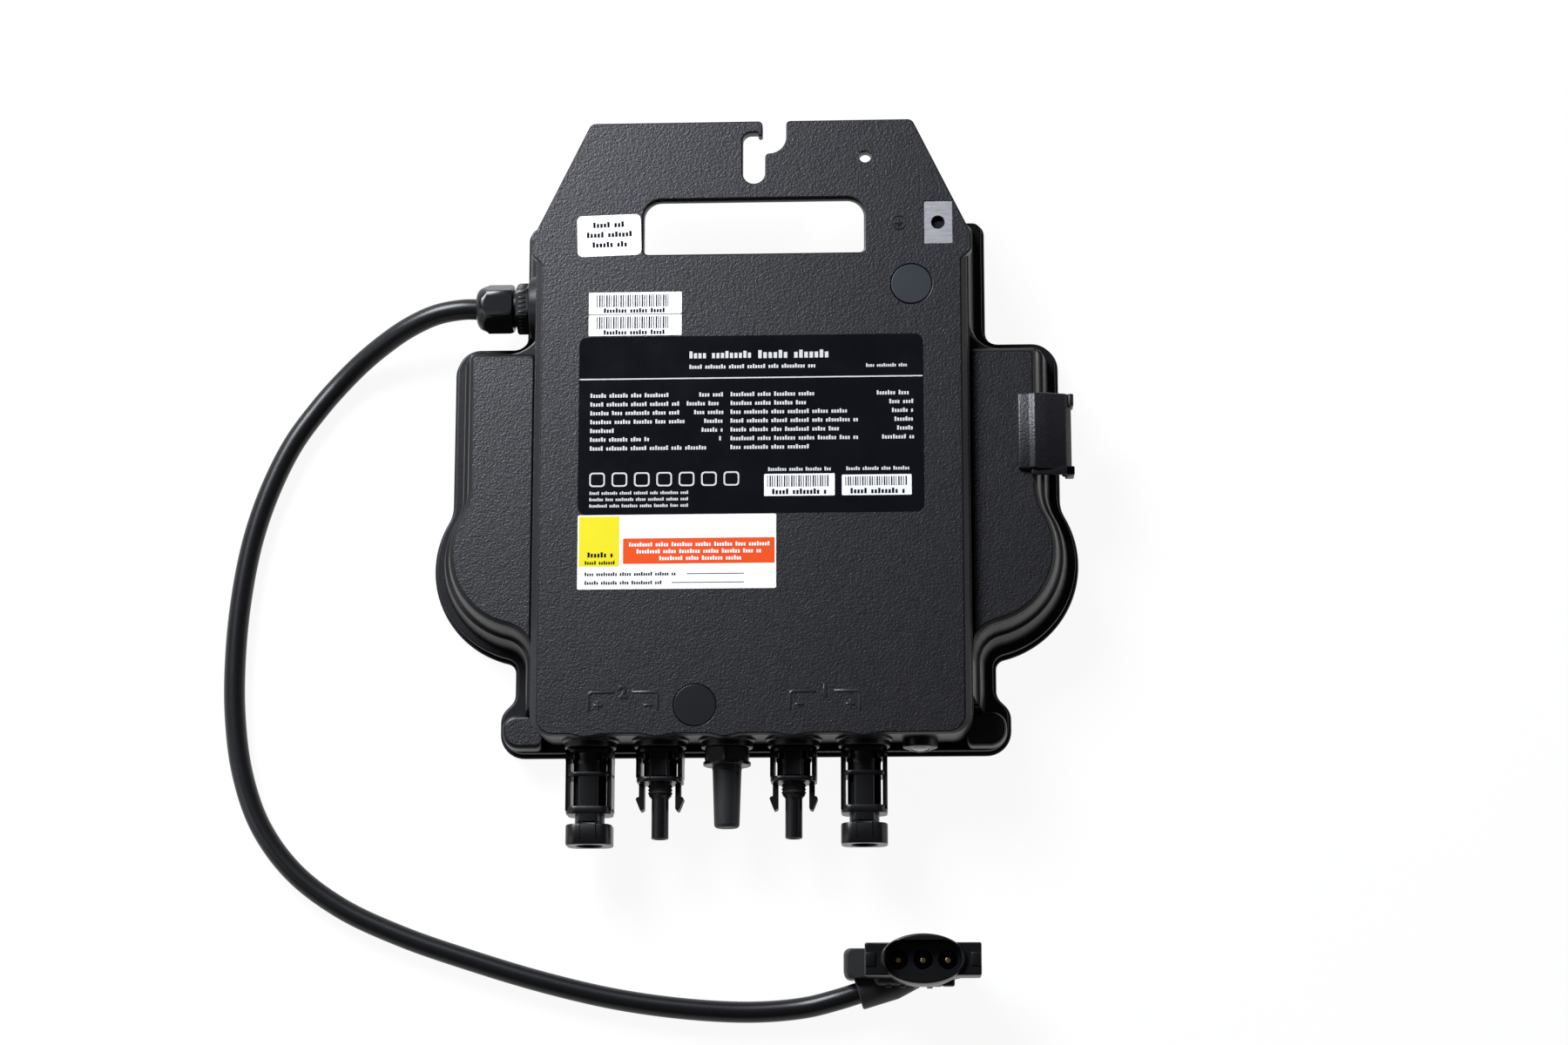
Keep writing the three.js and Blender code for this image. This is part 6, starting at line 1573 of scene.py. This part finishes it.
class INVERTER_OT_labels(bpy.types.Operator):
    """Make the bare stickers, the nameplate and the marks cast in the face"""

    bl_idname = "inverter.labels"
    bl_label = "Labels and marks"

    def execute(self, context):
        make_small_labels()
        make_nameplate()
        make_colour_label()
        make_cast_marks()
        return {"FINISHED"}


def sticker(name, finishes, fields, turn=None):
    """Flat fields on the face: each is (x0, x1, y0, y1, corner radius, level, finish's index)."""
    shape = Shape(turn)
    thickness = bpy.context.scene.inverter_finish.label_thickness / MM
    for x0, x1, y0, y1, radius, level, finish in fields:
        low = FACE_Z + FILM_GAP + (thickness if level else 0)
        high = FACE_Z + thickness + PRINT_HEIGHT * level
        corners = rectangle(x0, x1, y0, y1, radius, 5)
        rings = [flat_ring(outline(corners), z) for z in (low, high)]
        shape.loft(rings, top=finish, side=finish, bottom=finish)
    shape.piece(name, finishes)


# Strokes stand in groups of these counts. Pitch and short height are shares of the height, and
# width is a share of the pitch
STROKE_GROUPS = (7, 4, 9, 5, 8, 6)
STROKE_PITCH = 0.62
STROKE_WIDTH = 0.68
STROKE_SHORT = 0.74
BAR_PITCH = 0.95
BAR_WIDTHS = (0.3, 0.55, 0.4)


def strokes(x, y, length, height, level, finish):
    """A line of plain strokes in groups. The line's place picks its first group."""
    pitch = STROKE_PITCH * height
    step, group = 0, int(abs(x + y))
    while step * pitch < length:
        end = step + STROKE_GROUPS[group % len(STROKE_GROUPS)]
        for k in range(step, end):
            if k * pitch < length:
                tall = height if k % 4 == 0 else STROKE_SHORT * height
                start = x + k * pitch
                yield (start, x + (k + STROKE_WIDTH) * pitch, y, y + tall, 0, level, finish)
        step, group = end + 1, group + 1


def bars(x0, x1, y0, y1, level, finish):
    """Even upright bars that spell nothing."""
    for k in range(int((x1 - x0) / BAR_PITCH)):
        x = x0 + k * BAR_PITCH
        yield (x, x + BAR_WIDTHS[k % 3], y0, y1, 0, level, finish)


def make_small_labels():
    """The slightly turned label beside the handle, and the two rows with bars."""
    centre, angle = Vector((-57.2, 96.0)), radians(1.7)

    def turn(u, v, w):
        return (centre.x + u * cos(angle) - v * sin(angle),
                centre.y + u * sin(angle) + v * cos(angle), w)
    fields = [(-12.9, 12.9, -8.6, 8.6, 2.2, 0, 0)]
    for y, half in ((3.4, 6.4), (-0.7, 9.0), (-4.9, 6.8)):
        fields += strokes(-half, y, 2 * half, 2.3, 1, 1)
    sticker("label_upper", ["white", "film"], fields, turn)
    fields = [(-65.1, -27.7, 54.0, 62.75, 0.5, 0, 0), (-65.1, -27.7, 63.05, 72.1, 0.5, 0, 0)]
    for y in (54.0, 63.05):
        fields += bars(-61.9, -31.6, y + 2.9, y + 7.9, 1, 1)
        fields += strokes(-59, y + 0.5, 24, 1.9, 1, 1)
    sticker("label_rows", ["white", "film"], fields)


def make_nameplate():
    """The black plate: a heading over its rule, rows, bare squares and two white fields."""
    fields = [(-68.7, 68.7, -19.4, 53.5, 3.3, 0, 0), (-68.4, 68.4, 35.75, 36.25, 0, 1, 1),
              (5.4, 33.4, -12.6, -3.6, 0.3, 1, 2), (36.2, 63.8, -12.6, -4.2, 0.3, 1, 2)]
    rows = [28.4 - 3.62 * k for k in range(7)]
    left, left_ends = (32, 35, 35, 37, 9, 23, 46), (9, 14, 11, 7, 8, 1, 0)
    right, right_ends = (33, 30, 46, 50, 43, 50, 32), (14, 9, 8, 7, 6, 12, 0)
    for y, a, b, c, d in zip(rows, left, right, left_ends, right_ends):
        for x, length in ((-64, a), (-8, b), (-11.5 - c, c), (64.2 - d, d)):
            fields += strokes(x, y, length, 1.75, 1, 1)
    fields += strokes(-24.5, 44.2, 24, 2.9, 1, 1)
    fields += strokes(3, 44.0, 27, 3.3, 1, 1)
    fields += strokes(-24.5, 39.9, 50, 1.7, 1, 1)
    fields += strokes(46, 39.9, 16, 1.4, 1, 1)
    for x, length in ((7, 25), (38, 25)):
        fields += strokes(x, -2.4, length, 1.5, 1, 1)
    for x0, x1, y0, y1 in ((6.6, 32.2, -8.9, -4.3), (37.6, 62.4, -8.7, -5.0)):
        fields += bars(x0, x1, y0, y1, 2, 0)
        fields += strokes(x0 + 2, -11.9, x1 - x0 - 4, 2.2, 2, 0)
    for k in range(3):
        fields += strokes(-64, -11.4 - 2.6 * k, 39, 1.3, 1, 1)
    for k in range(7):
        x = -61 + 8.9 * k
        fields += [(x - 3.1, x + 3.1, -8.2, -2.4, 1.4, 1, 1), (x - 2.5, x + 2.5, -7.6, -3, 1, 2, 0)]
    sticker("nameplate", ["film", "print", "white"], fields)


def make_colour_label():
    """The long white label with a yellow and an orange field."""
    fields = [
        (-68.5, 10.2, -49.8, -19.7, 0.6, 0, 0), (-67.9, -51.9, -40.6, -20.3, 0.2, 1, 1),
        (-50.4, 9.6, -39.6, -29.3, 0.2, 1, 2), (-25, -2.5, -43.9, -43.6, 0, 1, 3),
        (-31, -2.5, -47.4, -47.1, 0, 1, 3),
    ]
    fields += strokes(-64.5, -36.9, 10, 2.1, 2, 3)
    fields += strokes(-65.5, -39.8, 12, 1.5, 2, 3)
    for y, x0, x1 in ((-32.6, -48, 7), (-35.4, -45, 4), (-38.2, -36, -4)):
        fields += strokes(x0, y, x1 - x0, 1.7, 2, 0)
    fields += strokes(-65.5, -44.4, 36, 1.5, 1, 3)
    fields += strokes(-65.5, -47.9, 30, 1.5, 1, 3)
    sticker("label_colour", ["white", "yellow", "orange", "film"], fields)


def make_cast_marks():
    """Brackets with plain digits and signs over the couplers, and the earth sign."""
    shape = Shape()
    sunk, crest = FACE_Z - 0.2, BODY_DEPTH - 0.03

    def ridge(corners, slope, way=1, offset=0.0):
        """A raised mark whose flanks slope up to a narrow crest."""
        def ring(inset, z):
            return [(offset + way * u, v, z) for u, v in outline(corners, inset)]
        shape.loft([
            ring(0, sunk), ring(0, FACE_Z), ring(0.4 * slope, crest - 0.1), ring(slope, crest),
        ])

    def stroke(x0, x1, y0, y1):
        slope = 0.44 * min(x1 - x0, y1 - y0)
        ridge(rectangle(x0, x1, y0, y1, 0.3, 2), slope)

    thick, top_y, low_y = 1.4, -90.4, -98.6
    for left, right, signs in ((-64.1, -35.6, "+-"), (15.0, 43.7, "-+")):
        for x, way, sign in ((left, 1, signs[0]), (right, -1, signs[1])):
            reach = abs((left + right) / 2 - x) - 3.4
            bracket = [
                corner(0, low_y), corner(thick, low_y), corner(thick, top_y - thick, 1, 5),
                corner(reach, top_y - thick), corner(reach, top_y), corner(0, top_y, 1.8, 6),
            ]
            ridge(bracket, 0.6, way, x)
            middle = x + way * 4.4
            stroke(middle - 1.9, middle + 1.9, -96.9, -95.6)
            if sign == "+":
                stroke(middle - 0.65, middle + 0.65, -98.2, -94.3)
    x, y = EARTH_SIGN_X, EARTH_Y
    outer, inner = ([
        flat_ring(circle(x, y, radius + side * slope, 48), z)
        for z, slope in ((sunk, 0), (FACE_Z, 0), (crest, 0.4))
    ] for radius, side in ((3.3, -1), (2.3, 1)))
    shape.loft(outer, [inner])
    stroke(x - 0.35, x + 0.35, y - 0.2, y + 1.9)
    for half, drop in ((1.7, 0.2), (1.15, 0.95), (0.6, 1.7)):
        stroke(x - half, x + half, y - drop - 0.26, y - drop + 0.26)
    shape.piece("cast_marks", ["mark"])
    for word, middle in (("2", -49.85), ("1", 29.35)):
        make_digit(word, middle, -91.2)


DIGIT_SIZE = 6.8
DIGIT_BEVEL = 0.29
DIGIT_WEIGHT = 0.1


def make_digit(word, x, y):
    """A raised digit made from a text, turned into a mesh before it is placed."""
    data = bpy.data.curves.new(f"digit_text_{word}", "FONT")
    data.body = word
    data.size = DIGIT_SIZE * MM
    data.bevel_depth = DIGIT_BEVEL * MM
    data.bevel_resolution = 2
    data.offset = DIGIT_WEIGHT * MM
    data.align_x = "CENTER"
    data.align_y = "CENTER"
    text = bpy.data.objects.new(f"digit_text_{word}", data)
    bpy.context.scene.collection.objects.link(text)
    graph = bpy.context.evaluated_depsgraph_get()
    mesh = bpy.data.meshes.new_from_object(text.evaluated_get(graph))
    bm = bmesh.new()
    bm.from_mesh(mesh)
    bmesh.ops.remove_doubles(bm, verts=bm.verts[:], dist=1e-6)
    bmesh.ops.translate(bm, verts=bm.verts[:], vec=metres(x, y, FACE_Z + 0.03))
    bm.to_mesh(mesh)
    bm.free()
    bpy.data.objects.remove(text)
    bpy.data.curves.remove(data)
    mesh.materials.clear()
    mesh.materials.append(MATERIALS["mark"])
    show(bpy.data.objects.new(f"cast_digit_{word}", mesh))


class INVERTER_OT_inside(bpy.types.Operator):
    """Give the pieces inside the housing their finishes"""

    bl_idname = "inverter.inside"
    bl_label = "Pieces inside"

    def execute(self, context):
        finishes = {
            "board": ["main_board"],
            "steel": ["radio_module", *(f"board_screw_{i}" for i in range(1, 5))],
            "ferrite": ["transformer_1", "transformer_2"],
            "sleeve": [f"bulk_capacitor_{i}" for i in range(1, 4)],
            "copper": ["output_choke"],
            "aluminium": ["heat_bar"],
            "grey": ["relay_1", "relay_2", "dc_terminal", "ac_terminal"],
        }
        for key, nodes in finishes.items():
            for node in nodes:
                paint(node, key)
        return {"FINISHED"}


STEPS = (
    INVERTER_OT_finishes, INVERTER_OT_stage, INVERTER_OT_cable, INVERTER_OT_housing,
    INVERTER_OT_cover, INVERTER_OT_fittings, INVERTER_OT_couplers, INVERTER_OT_gland,
    INVERTER_OT_labels, INVERTER_OT_inside,
)


class INVERTER_PT_panel(bpy.types.Panel):
    """Buttons for each step and the stage's settings"""

    bl_idname = "INVERTER_PT_panel"
    bl_label = "Micro inverter"
    bl_space_type = "VIEW_3D"
    bl_region_type = "UI"
    bl_category = "Inverter"

    def draw(self, context):
        for settings in (context.scene.inverter, context.scene.inverter_finish):
            for name in settings.bl_rna.properties.keys():
                if name not in ("rna_type", "name"):
                    self.layout.prop(settings, name)
        for step in STEPS:
            self.layout.operator(step.bl_idname)


CLASSES = (InverterFinish, InverterSettings, *STEPS, INVERTER_PT_panel)


def register():
    for cls in CLASSES:
        bpy.utils.register_class(cls)
    bpy.types.Scene.inverter = bpy.props.PointerProperty(type=InverterSettings)
    bpy.types.Scene.inverter_finish = bpy.props.PointerProperty(type=InverterFinish)


def unregister():
    del bpy.types.Scene.inverter_finish
    del bpy.types.Scene.inverter
    for cls in reversed(CLASSES):
        bpy.utils.unregister_class(cls)


def main():
    register()
    bpy.context.scene.view_settings.view_transform = "Standard"
    for step in STEPS:
        group, name = step.bl_idname.split(".")
        getattr(getattr(bpy.ops, group), name)()


if __name__ == "__main__":
    main()
